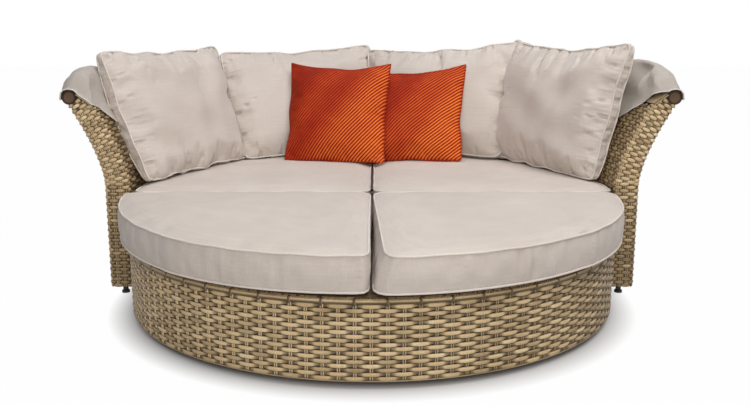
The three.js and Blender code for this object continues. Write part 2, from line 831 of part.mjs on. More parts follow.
// A bow in its own frame: the pivot axis is the X axis, and the bow lies in the plane z = 0
function canopyBow(name, radius, turn) {
  const start = Math.asin((pivotInset + bowTubeStart) / radius);
  const arc = new RingCurve(radius, 0, start, Math.PI - start);
  const tube = tubeAlong(arc, bowTubeRadius, bowSteps, bowSides).translate(0, -pivotInset, 0);
  const pieces = [tube];
  const half = bowTabThickness / 2;
  [1, -1].forEach((side) => {
    const x = side * pivotX(radius);
    const low = [x - half, 0, -bowTabHalfHeight];
    const high = [x + half, bowTubeStart + tabTubeLap, bowTabHalfHeight];
    pieces.push(box(low, high), rodAlongX(x - half, x + half, bowTabRadius, roundSides));
  });
  const eyeRadius = (pivotBoltRadius + seatGap) / Math.cos(Math.PI / roundSides);
  const eyes = [1, -1].map((side) => {
    const x = side * pivotX(radius);
    return rodAlongX(x - bowTabThickness, x + bowTabThickness, eyeRadius, roundSides);
  });
  const bow = part(name, cutFrom(joined(pieces), eyes), finishes.bow);
  bow.rotation.x = turn;
  return placed(bow, 0, pivotInset, pivotHeight);
}

// Faces across the pivot stack, on the right-hand side
const tabHalf = bowTabThickness / 2;
const stack = {
  cheekIn: pivotX(bowRadii.front) - tabHalf - seatGap,
  frontOut: pivotX(bowRadii.front) + tabHalf + seatGap,
  middleIn: pivotX(bowRadii.middle) - tabHalf - seatGap,
  middleOut: pivotX(bowRadii.middle) + tabHalf + seatGap,
  rearIn: pivotX(bowRadii.rear) - tabHalf - seatGap,
  cheekOut: pivotX(bowRadii.rear) + tabHalf + seatGap,
};

function pivotBracket(name, side) {
  const bottom = rimTop + seatGap - pivotHeight;
  const [inner, outer] = [stack.cheekIn - bracketThickness, stack.cheekOut + bracketThickness];
  const spans = [[inner, stack.cheekIn], [stack.cheekOut, outer]];
  const floorTop = bottom + bracketThickness;
  const pieces = [box([inner, -bracketHalfWidth, bottom], [outer, bracketHalfWidth, floorTop])];
  spans.forEach(([from, to]) => {
    pieces.push(box([from, -bracketHalfWidth, bottom], [to, bracketHalfWidth, 0]));
    pieces.push(rodAlongX(from, to, bracketHalfWidth, roundSides));
  });
  const holeRadius = (pivotBoltRadius + seatGap) / Math.cos(Math.PI / roundSides);
  const hole = rodAlongX(inner - cutOverrun, outer + cutOverrun, holeRadius, roundSides);
  const bracket = cutFrom(joined(pieces), [hole]);
  const piece = part(name, side > 0 ? bracket : mirrored(bracket), finishes.steel);
  return placed(piece, 0, pivotInset, pivotHeight);
}

function mirrored(geometry) {
  const flipped = positionsOnly(geometry).scale(-1, 1, 1);
  const corners = flipped.index.array;
  for (let i = 0; i < corners.length; i += 3) {
    [corners[i + 1], corners[i + 2]] = [corners[i + 2], corners[i + 1]];
  }
  flipped.computeVertexNormals();
  return flipped;
}

function pivotHardware(label, side) {
  const outer = stack.cheekOut + bracketThickness + seatGap;
  const inner = stack.cheekIn - bracketThickness - seatGap;
  const tip = inner - pivotNutHeight - pivotBoltTip;
  const shank = rodAlongX(tip, outer + pivotHeadHeight, pivotBoltRadius, roundSides);
  const head = rodAlongX(outer, outer + pivotHeadHeight, pivotHeadRadius, roundSides);
  const clearRadius = (pivotBoltRadius + seatGap) / Math.cos(Math.PI / roundSides);
  const ring = (from, to, radius, sides) => {
    const hole = rodAlongX(from - cutOverrun, to + cutOverrun, clearRadius, roundSides);
    return cutFrom(rodAlongX(from, to, radius, sides), [hole]);
  };
  const solids = {
    canopy_pivot_bolt: joined([shank, head]),
    canopy_pivot_nut: ring(inner - pivotNutHeight, inner, pivotNutRadius, tubeSides),
    canopy_inner_spacer: ring(stack.frontOut, stack.middleIn, spacerRadius, roundSides),
    canopy_outer_spacer: ring(stack.middleOut, stack.rearIn, spacerRadius, roundSides),
  };
  return Object.entries(solids).map(([name, solid]) => {
    const piece = part(`${name}_${label}`, side > 0 ? solid : mirrored(solid), finishes.steel);
    return placed(piece, 0, pivotInset, pivotHeight);
  });
}

// The cloth hangs in an arch over the rim and the bows. At each place round the rim it runs from its
// hem inside the wall, over the top and down to its hem outside. It closes to a rounded nose over
// each end of the rim, and its top and outer face rise and swell in soft folds.
function clothSection(angle) {
  const fromTip = Math.min(angle, Math.PI - angle) / degree;
  const ease = (limit, power) => Math.sin((Math.min(1, fromTip / limit) * Math.PI) / 2) ** power;
  const bowTop = pivotHeight + (bowRadii.front - pivotInset) * Math.sin(bowTurns.front) + bowTubeRadius;
  const fullTop = bowTop + seatGap + clothThickness / 2;
  const noseTop = rimTop + clothNoseLift;
  const ripple = (1 - Math.cos(2 * clothFolds * (angle - Math.PI / 2))) / 2;
  const nose = ease(clothNoseAngle, clothNosePower);
  const top = noseTop + (fullTop - noseTop + clothFoldHeight * ripple) * nose;
  const noseHem = noseTop - clothNoseHem;
  const innerHem = noseHem - clothInnerHang * ease(clothInnerSlopeAngle, 1);
  const outerHem = noseHem - clothOuterHang * ease(clothOuterSlopeAngle, 1);
  const swell = clothFoldDepth * ripple * nose;
  const innerAt = (z) => {
    if (z >= rimHeight) return clothInnerRadius;
    return Math.min(wallInnerAt(z), wallInnerAt(skinTop)) - clothWallGap;
  };
  const outerAt = (z) => {
    const low = rimRadius + rimRollRadius + clothRimGap;
    const share = Math.max(0, Math.min(1, (z - rimHeight) / rimRollRadius));
    return low + (clothOuterRadius - low) * share;
  };
  const drop = top - outerHem;
  const innerHeights = clothInnerShares.map((share) => top - (top - innerHem) * share);
  const outerHeights = clothOuterShares.map((share) => top - drop * share);
  const inner = innerHeights.map((z) => [innerAt(z), z]);
  const outer = outerHeights.map((z) => [outerAt(z) + swell, z]);
  const crest = [
    [bowRadii.front - 2 * bowTubeRadius, top],
    [bowRadii.middle, top],
    [bowRadii.rear, top - drop * clothCrestShare],
    [clothOuterRadius - clothWallGap + swell, top - drop * clothShoulderShare],
  ];
  return [...inner, ...crest, ...outer];
}

function offsetSection(section, distance) {
  return section.map(([r, z], i) => {
    const [beforeR, beforeZ] = section[Math.max(0, i - 1)];
    const [afterR, afterZ] = section[Math.min(section.length - 1, i + 1)];
    const [alongR, alongZ] = [afterR - beforeR, afterZ - beforeZ];
    const length = Math.hypot(alongR, alongZ);
    return [r - (alongZ / length) * distance, z + (alongR / length) * distance];
  });
}

function canopyCloth() {
  const points = [];
  const triangles = [];
  let count = 0;
  for (let i = 0; i <= clothSteps; i += 1) {
    const share = i / clothSteps;
    const angle = Math.PI * share - (clothEndCrowding / 2) * Math.sin(2 * Math.PI * share);
    const middle = clothSection(angle);
    const half = clothThickness / 2;
    const loop = [...offsetSection(middle, half), ...offsetSection(middle, -half).reverse()];
    count = loop.length;
    loop.forEach(([r, z]) => points.push([r * Math.cos(angle), r * Math.sin(angle), z]));
  }
  for (let i = 0; i < clothSteps; i += 1) {
    for (let k = 0; k < count; k += 1) {
      const [a, b] = [i * count + k, i * count + ((k + 1) % count)];
      triangles.push([a, b, b + count], [a, b + count, a + count]);
    }
  }
  const last = clothSteps * count;
  for (let k = 0; k + 1 < count / 2; k += 1) {
    const [a, b, c, d] = [k, k + 1, count - 2 - k, count - 1 - k];
    triangles.push([a, c, b], [a, d, c], [last + a, last + b, last + c], [last + a, last + c, last + d]);
  }
  return part("canopy_cloth", indexedSolid(points, triangles), finishes.canopyCloth);
}

// Assembly

const sofa = new THREE.Group().add(
  sofaFrame(),
  backInnerWeave(),
  backOuterWeave(),
  armEndWeave("arm_end_weave_left", -1),
  armEndWeave("arm_end_weave_right", 1),
  backRimWeave(),
  rimEndCap("rim_end_cap_left", -1),
  rimEndCap("rim_end_cap_right", 1),
  sofaDeck(),
  sofaFrontApron(),
  ...sofaFeet(),
  seatCushion("rear_seat_cushion_left", rearPadRadius, -1, 1),
  seatCushion("rear_seat_cushion_right", rearPadRadius, 1, 1),
  backCushion("back_cushion_side_left", 1, 1),
  backCushion("back_cushion_middle_left", 0, 1),
  backCushion("back_cushion_middle_right", 0, -1),
  backCushion("back_cushion_side_right", 1, -1),
  scatterCushion("scatter_cushion_left", leftScatter),
  scatterCushion("scatter_cushion_right", rightScatter),
);

const ottoman = new THREE.Group().add(
  ottomanFrame(),
  ottomanSkirtWeave(),
  ottomanBackWeave(),
  ottomanDeck(),
  ...ottomanFeet(),
  seatCushion("front_seat_cushion_left", wallInnerRadius, -1, -1),
  seatCushion("front_seat_cushion_right", wallInnerRadius, 1, -1),
);

const canopy = new THREE.Group().add(
  pivotBracket("canopy_bracket_left", -1),
  pivotBracket("canopy_bracket_right", 1),
  ...pivotHardware("left", -1),
  ...pivotHardware("right", 1),
  canopyBow("canopy_bow_rear", bowRadii.rear, bowTurns.rear),
  canopyBow("canopy_bow_middle", bowRadii.middle, bowTurns.middle),
  canopyBow("canopy_bow_front", bowRadii.front, bowTurns.front),
  canopyCloth(),
);

const daybed = new THREE.Group().add(sofa, ottoman, canopy);
const footprint = new THREE.Box3().setFromObject(daybed);
daybed.position.y = -(footprint.min.y + footprint.max.y) / 2;

export default daybed;
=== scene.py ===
"""Dresses the outdoor daybed with canopy: weave, cushions, canopy cloth, studio and camera."""
import logging
import math
from dataclasses import dataclass, field, replace
from enum import Enum
from typing import Callable, Iterable, Sequence

import bpy
import numpy as np
from mathutils import Matrix, Vector


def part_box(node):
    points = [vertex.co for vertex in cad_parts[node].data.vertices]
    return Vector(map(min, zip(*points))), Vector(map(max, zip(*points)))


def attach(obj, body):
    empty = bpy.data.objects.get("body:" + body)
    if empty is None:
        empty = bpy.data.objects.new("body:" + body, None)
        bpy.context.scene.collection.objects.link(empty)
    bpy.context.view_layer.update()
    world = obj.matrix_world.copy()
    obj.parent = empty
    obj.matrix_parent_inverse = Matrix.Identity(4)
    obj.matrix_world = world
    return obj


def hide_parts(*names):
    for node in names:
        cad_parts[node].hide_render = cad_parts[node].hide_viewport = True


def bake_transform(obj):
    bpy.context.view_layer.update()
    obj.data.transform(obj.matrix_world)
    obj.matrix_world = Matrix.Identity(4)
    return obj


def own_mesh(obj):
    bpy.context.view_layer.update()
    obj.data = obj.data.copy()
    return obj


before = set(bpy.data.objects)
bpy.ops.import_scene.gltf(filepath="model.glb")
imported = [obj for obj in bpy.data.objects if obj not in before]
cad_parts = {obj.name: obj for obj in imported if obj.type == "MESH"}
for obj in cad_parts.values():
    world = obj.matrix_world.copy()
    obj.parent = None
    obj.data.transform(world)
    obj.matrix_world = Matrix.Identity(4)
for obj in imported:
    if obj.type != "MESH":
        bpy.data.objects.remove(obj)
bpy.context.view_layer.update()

log = logging.getLogger("daybed")
logging.basicConfig(level=logging.INFO, format="%(message)s")

# The plan circle's centre lies at x = 0 and at this y in the row frame
CENTRE_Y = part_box("back_inner_weave")[0].y
SEAT_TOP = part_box("rear_seat_cushion_left")[1].z
# The height that the back and scatter cushions' covers stay above, in metres
CUSHION_FLOOR = SEAT_TOP + 0.0006

UP = (0.0, 0.0, 1.0)
TO_FRONT = (0.0, -1.0, 0.0)

Array = np.ndarray
Socket = bpy.types.NodeSocket
Material = bpy.types.Material
Piece = bpy.types.Object
Colour = tuple[float, float, float]
# A function that turns rib and row places into points and the directions that the weave faces
Place = Callable[[Array, Array], tuple[Array, Array]]
# The near, right, far and left side of a cushion's panel
Sides = tuple[Array, Array, Array, Array]


class Body(Enum):
    """Names of the frame's bodies."""

    SOFA = "sofa"
    OTTOMAN = "ottoman"
    REAR_BOW = "canopy_rear"
    MIDDLE_BOW = "canopy_middle"
    FRONT_BOW = "canopy_front"


# Finishes


class NodeBoard:
    """A material's node tree, with short calls to add and join nodes."""

    def __init__(self, name: str) -> None:
        """Starts a material that holds one principled shader.

        Args:
            name: the material's name.
        """
        self.material = bpy.data.materials.new(name)
        self.material.use_nodes = True
        self.tree = self.material.node_tree
        self.shader = self.tree.nodes["Principled BSDF"]

    def add(self, kind: str, inputs: dict | None = None, **settings) -> bpy.types.Node:
        """Adds a node.

        Args:
            kind: the node's type name.
            inputs: socket values or links, by socket name.
            settings: attributes of the node.

        Returns:
            The new node.
        """
        node = self.tree.nodes.new(kind)
        for name, value in settings.items():
            setattr(node, name, value)
        for name, value in (inputs or {}).items():
            self.feed(node, name, value)
        return node

    def feed(self, node: bpy.types.Node, name: str | int, value: object) -> None:
        """Sets a socket to a value, or joins another socket to it.

        Args:
            node: the node that has the socket.
            name: the socket's name or number.
            value: a number, a colour or another node's socket.
        """
        if isinstance(value, Socket):
            self.tree.links.new(value, node.inputs[name])
        else:
            node.inputs[name].default_value = value

    def set(self, **values: float) -> None:
        """Sets the shader's own values, by socket name with _ for each blank."""
        for name, value in values.items():
            self.feed(self.shader, name.replace("_", " "), value)

    def colour(self, value: Socket) -> None:
        """Joins a colour to the shader."""
        self.feed(self.shader, "Base Color", value)

    def ramp(self, factor: Socket, stops: Sequence[tuple[float, Colour]]) -> Socket:
        """Adds a colour ramp.

        Args:
            factor: the socket that drives the ramp.
            stops: pairs of place and colour, from 0 to 1.

        Returns:
            The ramp's colour socket.
        """
        node = self.add("ShaderNodeValToRGB", {"Fac": factor})
        band = node.color_ramp.elements
        while len(band) < len(stops):
            band.new(1.0)
        for element, (place, colour) in zip(band, stops):
            element.position = place
            element.color = (*colour, 1.0)
        return node.outputs["Color"]

    def attribute(self, name: str) -> Socket:
        """Returns the value socket of a mesh attribute."""
        return self.add("ShaderNodeAttribute", attribute_name=name).outputs["Fac"]

    def noise(self, vector: Socket, scale: float, detail: float = 3.0) -> Socket:
        """Returns a noise texture's value socket."""
        inputs = {"Scale": scale, "Detail": detail, "Vector": vector}
        return self.add("ShaderNodeTexNoise", inputs).outputs["Fac"]

    def maths(self, operation: str, a: object, b: object = 0.0) -> Socket:
        """Returns the result of a maths node."""
        return self.add("ShaderNodeMath", {0: a, 1: b}, operation=operation).outputs[0]

    def times(self, a: object, b: object) -> Socket:
        """Returns the product of two values."""
        return self.maths("MULTIPLY", a, b)

    def plus(self, a: object, b: object) -> Socket:
        """Returns the sum of two values."""
        return self.maths("ADD", a, b)

    def minus(self, a: object, b: object) -> Socket:
        """Returns the first value less the second."""
        return self.maths("SUBTRACT", a, b)

    def mapped(self, value: Socket, low: float, high: float, first: float, last: float) -> Socket:
        """Returns a value moved from the range low to high into the range first to last."""
        inputs = {"Value": value, "From Min": low, "From Max": high, "To Min": first, "To Max": last}
        return self.add("ShaderNodeMapRange", inputs).outputs["Result"]

    def point(self, x: object, y: object, z: object) -> Socket:
        """Returns three values joined into one vector."""
        return self.add("ShaderNodeCombineXYZ", {0: x, 1: y, 2: z}).outputs[0]

    def object_space(self) -> Socket:
        """Returns the object coordinates socket."""
        return self.add("ShaderNodeTexCoord").outputs["Object"]

    def stretched(self, scale: tuple[float, float, float]) -> Socket:
        """Returns object coordinates, scaled apart along each axis."""
        node = self.add("ShaderNodeMapping", {"Vector": self.object_space(), "Scale": scale})
        return node.outputs["Vector"]

    def bump(self, height: Socket, strength: float, distance: float) -> None:
        """Feeds a height into the shader's normal."""
        inputs = {"Height": height, "Strength": strength, "Distance": distance}
        self.feed(self.shader, "Normal", self.add("ShaderNodeBump", inputs).outputs["Normal"])


@dataclass(frozen=True)
class WovenStrandFinish:
    """Synthetic cane strands, each in its own tone, with fine grooves along it, and painted shade at their
    edges and where they tuck under.
    """

    name: str = "woven_strand"
    dark: Colour = (0.235, 0.155, 0.075)
    middle: Colour = (0.672, 0.490, 0.270)
    light: Colour = (0.930, 0.735, 0.460)
    weathered: Colour = (0.540, 0.430, 0.290)
    tone_share: float = 0.42
    roughness: float = 0.40
    specular: float = 0.12
    # Painted shade: how dark the strands' edges and their tucked-under places are painted
    edge_shade: float = 0.20
    tuck_shade: float = 0.20

    def build(self) -> Material:
        """Builds the node tree.

        Returns:
            The material.
        """
        board = NodeBoard(self.name)
        tone, along, across = (board.attribute(name) for name in ("tone", "along", "across"))
        place = board.point(along, across, board.times(tone, 37.0))
        streak = board.noise(place, 16.0, 4.0)
        mixed = board.plus(board.times(tone, self.tone_share), board.times(streak, 1 - self.tone_share))
        colour = board.ramp(mixed, ((0.22, self.dark), (0.48, self.middle), (0.80, self.light)))
        weather = board.times(board.minus(board.noise(place, 5.0, 2.0), 0.42), 2.2)
        blend = board.add("ShaderNodeMix", {"Factor": weather, 6: colour, 7: (*self.weathered, 1.0)},
                          data_type="RGBA", clamp_factor=True)
        # Painted shade: darker towards each strand's edges, and where it tucks under its neighbour
        off_middle = board.maths("ABSOLUTE", board.minus(across, 0.5))
        edge = board.mapped(off_middle, 0.14, 0.34, 1.0, self.edge_shade)
        painted_tuck_shade = board.mapped(board.attribute("lit"), 0.0, 0.7, self.tuck_shade, 1.0)
        shade = board.add("ShaderNodeVectorMath", {0: blend.outputs[2]}, operation="SCALE")
        board.feed(shade, "Scale", board.times(edge, painted_tuck_shade))
        board.colour(shade.outputs[0])
        board.set(Roughness=self.roughness, Specular_IOR_Level=self.specular)
        groove = board.point(along, board.times(across, 22.0), tone)
        board.bump(board.noise(groove, 9.0, 3.0), 0.35, 0.0006)
        return board.material


@dataclass(frozen=True)
class DeckFinish:
    """Plain weave seen flat: staggered strands with dark gaps between them, sizes in metres."""

    name: str = "woven_deck"
    light: Colour = (0.420, 0.300, 0.160)
    dark: Colour = (0.260, 0.180, 0.092)
    gap: Colour = (0.040, 0.026, 0.014)
    strand_length: float = 0.0455
    strand_width: float = 0.0122
    gap_width: float = 0.0012

    def build(self) -> Material:
        """Builds the node tree.

        Returns:
            The material.
        """
        board = NodeBoard(self.name)
        bricks = {"Vector": board.object_space(), "Color1": (*self.light, 1.0), "Color2": (*self.dark, 1.0),
                  "Mortar": (*self.gap, 1.0), "Scale": 1.0, "Mortar Size": self.gap_width,
                  "Brick Width": self.strand_length, "Row Height": self.strand_width}
        strands = board.add("ShaderNodeTexBrick", bricks).outputs
        streak = board.noise(board.stretched((40.0, 600.0, 40.0)), 1.0, 4.0)
        worn = board.ramp(streak, ((0.30, (0.62, 0.60, 0.56)), (0.70, (1.0, 1.0, 1.0))))
        mixed = board.add("ShaderNodeVectorMath", {0: strands["Color"], 1: worn}, operation="MULTIPLY")
        board.colour(mixed.outputs[0])
        board.set(Roughness=0.45)
        board.bump(board.minus(board.times(streak, 0.25), strands["Fac"]), 0.8, 0.0015)
        return board.material


@dataclass(frozen=True)
class ClothFinish:
    """A plain woven outdoor cloth: crossed threads, a little heather and soft wide shading."""

    name: str
    colour: Colour
    shade: Colour
    thread: float = 900.0
    roughness: float = 0.9
    sheen: float = 0.15

    def build(self) -> Material:
        """Builds the node tree.

        Returns:
            The material.
        """
        board = NodeBoard(self.name)
        wide = board.noise(board.object_space(), 3.5, 3.0)
        slub_across = board.noise(board.stretched((9.0, 9.0, 420.0)), 1.0, 3.0)
        slub_along = board.noise(board.stretched((420.0, 420.0, 9.0)), 1.0, 3.0)
        heather = board.times(board.plus(slub_across, slub_along), 0.5)
        mixed = board.plus(board.times(wide, 0.45), board.times(heather, 0.75))
        board.colour(board.ramp(mixed, ((0.35, self.shade), (0.75, self.colour))))
        board.set(Roughness=self.roughness, Sheen_Weight=self.sheen, Specular_IOR_Level=0.2)
        thread = board.noise(board.stretched((self.thread, self.thread, self.thread)), 1.0, 2.0)
        board.bump(board.plus(thread, board.times(heather, 2.0)), 0.25, 0.0005)
        return board.material


@dataclass(frozen=True)
class VelvetFinish:
    """Pin-tucked velvet, with painted shade between the tucks and a painted highlight on their backs and
    towards the panel's lower right.
    """

    name: str = "scatter_velvet"
    # Painted shade and highlight: the groove colour darkens the creases between the tucks, and the ridge
    # colour lights their backs
    groove: Colour = (0.210, 0.010, 0.003)
    flank: Colour = (0.470, 0.040, 0.006)
    ridge: Colour = (0.860, 0.215, 0.034)
    sheen: Colour = (1.0, 0.35, 0.12)

    def build(self) -> Material:
        """Builds the node tree.

        Returns:
            The material.
        """
        board = NodeBoard(self.name)
        tuck, painted_highlight = board.attribute("tuck"), board.attribute("painted_highlight")
        pile = board.noise(board.object_space(), 26.0, 4.0)
        # Painted highlight and shade: brighter on the tucks' backs and towards the lower right, darker in
        # the grooves
        lit = board.times(tuck, board.plus(board.times(painted_highlight, 0.90), 0.14))
        mixed = board.plus(lit, board.times(board.minus(pile, 0.5), 0.20))
        board.colour(board.ramp(mixed, ((0.05, self.groove), (0.34, self.flank), (0.86, self.ridge))))
        board.set(Roughness=0.7, Sheen_Weight=0.25, Sheen_Roughness=0.35, Specular_IOR_Level=0.15)
        board.feed(board.shader, "Sheen Tint", (*self.sheen, 1.0))
        board.bump(board.noise(board.object_space(), 700.0, 3.0), 0.3, 0.0005)
        return board.material


@dataclass(frozen=True)
class CapFinish:
    """The rim caps' moulded plastic: dark on the rolled edge, lighter brown in the sunken middle."""

    name: str = "rim_cap"
    edge: Colour = (0.035, 0.020, 0.013)
    middle: Colour = (0.130, 0.078, 0.045)

    def build(self) -> Material:
        """Builds the node tree.

        Returns:
            The material.
        """
        board = NodeBoard(self.name)
        patch = board.times(board.minus(board.noise(board.object_space(), 60.0, 4.0), 0.5), 0.5)
        factor = board.plus(board.attribute("tone"), patch)
        board.colour(board.ramp(factor, ((0.2, self.edge), (0.8, self.middle))))
        board.set(Roughness=0.55, Specular_IOR_Level=0.25)
        board.bump(board.noise(board.object_space(), 500.0, 2.0), 0.2, 0.0004)
        return board.material


@dataclass(frozen=True)
class MouldedFinish:
    """Moulded plastic or painted metal: even, with a fine grain and scuffed patches."""

    name: str
    colour: Colour
    roughness: float = 0.5
    metallic: float = 0.0
    grain: float = 420.0

    def build(self) -> Material:
        """Builds the node tree.

        Returns:
            The material.
        """
        board = NodeBoard(self.name)
        patch = board.noise(board.object_space(), 24.0, 4.0)
        pale = tuple(min(1.0, part * 1.35 + 0.01) for part in self.colour)
        dark = tuple(part * 0.75 for part in self.colour)
        board.colour(board.ramp(patch, ((0.35, dark), (0.52, self.colour), (0.72, pale))))
        rough = board.plus(board.times(board.minus(patch, 0.5), 0.3), self.roughness)
        board.feed(board.shader, "Roughness", rough)
        board.set(Metallic=self.metallic)
        board.bump(board.noise(board.object_space(), self.grain, 2.0), 0.15, 0.0004)
        return board.material


class Finishes:
    """The daybed's finishes, each made once."""

    def __init__(self) -> None:
        """Builds every material."""
        self.strand = WovenStrandFinish().build()
        # Painted shade: a darker copy of the strand finish, for the back's inner face
        self.strand_painted_shade = WovenStrandFinish(
            "woven_strand_painted_shade", dark=(0.11, 0.072, 0.036), middle=(0.320, 0.220, 0.110),
            light=(0.52, 0.380, 0.205), weathered=(0.26, 0.20, 0.135)).build()
        self.deck = DeckFinish().build()
        self.seat = ClothFinish("seat_cloth", (0.655, 0.590, 0.540), (0.545, 0.480, 0.425)).build()
        # Painted highlight: the piping is the seat cloth in a lighter copy
        self.piping = ClothFinish("piping_cloth_painted_highlight", (0.740, 0.680, 0.625), (0.640, 0.575, 0.520)).build()
        self.canopy = ClothFinish("canopy_cloth_finish", (0.495, 0.450, 0.408),
                                  (0.400, 0.355, 0.312)).build()
        self.hem = ClothFinish("canopy_hem", (0.740, 0.715, 0.690), (0.640, 0.610, 0.580)).build()
        self.velvet = VelvetFinish().build()
        self.cap = CapFinish().build()
        self.glide = MouldedFinish("glide", (0.012, 0.011, 0.011), 0.6).build()
        self.tube = MouldedFinish("frame_tube", (0.080, 0.055, 0.038), 0.5, 0.2).build()
        self.bow = MouldedFinish("bow_tube", (0.42, 0.41, 0.40), 0.35, 0.9, 160.0).build()
        self.steel = MouldedFinish("pivot_steel", (0.50, 0.50, 0.50), 0.3, 1.0, 260.0).build()
        self.zip = MouldedFinish("zip_tape", (0.010, 0.010, 0.011), 0.6).build()


# Mesh helpers


class MeshBuffer:
    """Collects rings and grids into one mesh, with a tone and a place along and across each strand."""

    def __init__(self) -> None:
        """Starts empty."""
        self.points: list[Array] = []
        self.quads: list[Array] = []
        self.caps: list[tuple[int, ...]] = []
        self.values: dict[str, list[Array]] = {"tone": [], "along": [], "across": [], "lit": []}
        self.count = 0

    def add_rings(self, rings: Array, tone: Array | float = 0.5, closed: bool = False,
                  lit: Array | float = 1.0) -> None:
        """Adds a skin through a row of rings.

        Args:
            rings: points of shape (rings, points in a ring, 3), each ring right-handed about the path.
            tone: one value, or one for each ring.
            closed: whether the last ring joins the first.
            lit: how brightly it is painted, 1 where it lies open and lower for painted shade where it tucks
                under, one value or one for each ring.
        """
        rows, sides, _ = rings.shape
        index = np.arange(rows * sides).reshape(rows, sides) + self.count
        turned = np.roll(index, -1, axis=1)
        if closed:
            after, turned_after = np.roll(index, -1, axis=0), np.roll(turned, -1, axis=0)
            self.quads.append(np.stack([index, turned, turned_after, after], axis=-1).reshape(-1, 4))
        else:
            quads = np.stack([index[:-1], turned[:-1], turned[1:], index[1:]], axis=-1)
            self.quads.append(quads.reshape(-1, 4))
            self.caps.append(tuple(int(i) for i in index[0][::-1]))
            self.caps.append(tuple(int(i) for i in index[-1]))
        self.points.append(rings.reshape(-1, 3))
        self.count += rows * sides
        self.values["along"].append(np.repeat(distance_along(rings.mean(axis=1)), sides))
        self.values["across"].append(np.tile(np.arange(sides) / sides, rows))
        self.values["tone"].append(np.repeat(np.broadcast_to(tone, (rows,)), sides))
        self.values["lit"].append(np.repeat(np.broadcast_to(lit, (rows,)), sides))

    def build(self, name: str, material: Material) -> Piece:
        """Makes the object.

        Args:
            name: the piece's name.
            material: its finish.

        Returns:
            The new object, smooth shaded.
        """
        faces = [tuple(q) for q in np.concatenate(self.quads).tolist()] + self.caps
        piece = mesh_object(name, np.concatenate(self.points), faces, material)
        for key, chunks in self.values.items():
            store_attribute(piece, key, np.concatenate(chunks))
        return piece


def mesh_object(name: str, points: Array, faces: Sequence, material: Material) -> Piece:
    """Makes a smooth mesh object from points and faces.

    Args:
        name: the piece's name.
        points: vertex places, in metres.
        faces: vertex numbers of each face.
        material: the finish.

    Returns:
        The new object.
    """
    mesh = bpy.data.meshes.new(name)
    mesh.from_pydata(points.tolist(), [], faces)
    mesh.validate()
    mesh.update()
    mesh.polygons.foreach_set("use_smooth", [True] * len(mesh.polygons))
    mesh.materials.append(material)
    piece = bpy.data.objects.new(name, mesh)
    bpy.context.scene.collection.objects.link(piece)
    return piece


def store_attribute(piece: Piece, name: str, values: Array) -> None:
    """Stores one number for each vertex."""
    attribute = piece.data.attributes.new(name, "FLOAT", "POINT")
    attribute.data.foreach_set("value", np.asarray(values, np.float32))


def read_numbers(source: bpy.types.bpy_prop_collection, key: str, size: int = 1) -> Array:
    """Reads one value of every element of a mesh.

    Args:
        source: the mesh's vertices or an attribute's data.
        key: the value's name.
        size: how many numbers the value has.

    Returns:
        The numbers in one row.
    """
    numbers = np.zeros(len(source) * size, np.float32)
    source.foreach_get(key, numbers)
    return numbers.astype(float)


def read_attribute(mesh: bpy.types.Mesh, name: str) -> Array:
    """Returns a mesh attribute, one number for each vertex."""
    return read_numbers(mesh.attributes[name].data, "value")


def points_of(mesh: bpy.types.Mesh) -> Array:
    """Returns a mesh's vertex places."""
    return read_numbers(mesh.vertices, "co", 3).reshape(-1, 3)


def normals_of(mesh: bpy.types.Mesh) -> Array:
    """Returns a mesh's vertex normals."""
    return read_numbers(mesh.vertices, "normal", 3).reshape(-1, 3)


def move_points(mesh: bpy.types.Mesh, places: Array) -> None:
    """Moves a mesh's vertices to new places."""
    mesh.vertices.foreach_set("co", np.asarray(places, np.float32).ravel())
    mesh.update()


def apply_modifiers(piece: Piece) -> None:
    """Bakes an object's modifiers into its mesh.

    Args:
        piece: the object, which gets the shaped mesh in place of its own.
    """
    evaluated = piece.evaluated_get(bpy.context.evaluated_depsgraph_get())
    shaped = bpy.data.meshes.new_from_object(evaluated)
    old = piece.data
    piece.modifiers.clear()
    piece.data = shaped
    bpy.data.meshes.remove(old)


def unit(vectors: Array) -> Array:
    """Returns the vectors at length one."""
    return vectors / np.maximum(np.linalg.norm(vectors, axis=-1, keepdims=True), 1e-12)


def distance_along(points: Array) -> Array:
    """Returns each point's distance from the first, along their line."""
    steps = np.linalg.norm(np.diff(points, axis=0), axis=1)
    return np.concatenate([[0.0], np.cumsum(steps)])


def tangents(path: Array, closed: bool = False) -> Array:
    """Finds the directions along a path.

    Args:
        path: points of the path.
        closed: whether the path is a loop.

    Returns:
        One unit direction for each point.
    """
    if closed:
        return unit(np.roll(path, -1, axis=0) - np.roll(path, 1, axis=0))
    return unit(np.gradient(path, axis=0))


def rings_along(path: Array, normal: Sequence | Array, section: Array, closed: bool = False) -> Array:
    """Places a section at each point of a path.

    Args:
        path: points of the path.
        normal: the direction that the section's second value points in, for all points or for each.
        section: (side, out) pairs, for the whole path or for each point.
        closed: whether the path is a loop.

    Returns:
        The rings, each turning right-handed about the path.
    """
    forward = tangents(path, closed)
    side = unit(np.cross(normal, forward))
    out = unit(np.cross(forward, side))
    spread = np.broadcast_to(section, (len(path), *np.shape(section)[-2:]))
    return path[:, None] + side[:, None] * spread[..., :1] + out[:, None] * spread[..., 1:]


def round_section(radius: float, sides: int) -> Array:
    """Returns a circle as (side, out) pairs."""
    turn = np.arange(sides) * 2 * math.pi / sides
    return np.stack([np.cos(turn), np.sin(turn)], axis=1) * radius


def soft_noise(values: Array, seed: int, wavelength: float, waves: int = 5) -> Array:
    """Makes a smooth random curve of about unit height along one measure.

    Args:
        values: where the curve is read.
        seed: picks the curve.
        wavelength: the waves' middle length, in the unit of the values.
        waves: how many waves are added up.

    Returns:
        The curve's height at each value.
    """
    source = np.random.default_rng(seed)
    total = np.zeros_like(values, dtype=float)
    for _ in range(waves):
        length = wavelength * source.uniform(0.6, 1.7)
        total += np.sin(values * 2 * math.pi / length + source.uniform(0, 2 * math.pi))
    return total / math.sqrt(waves)


# Weave


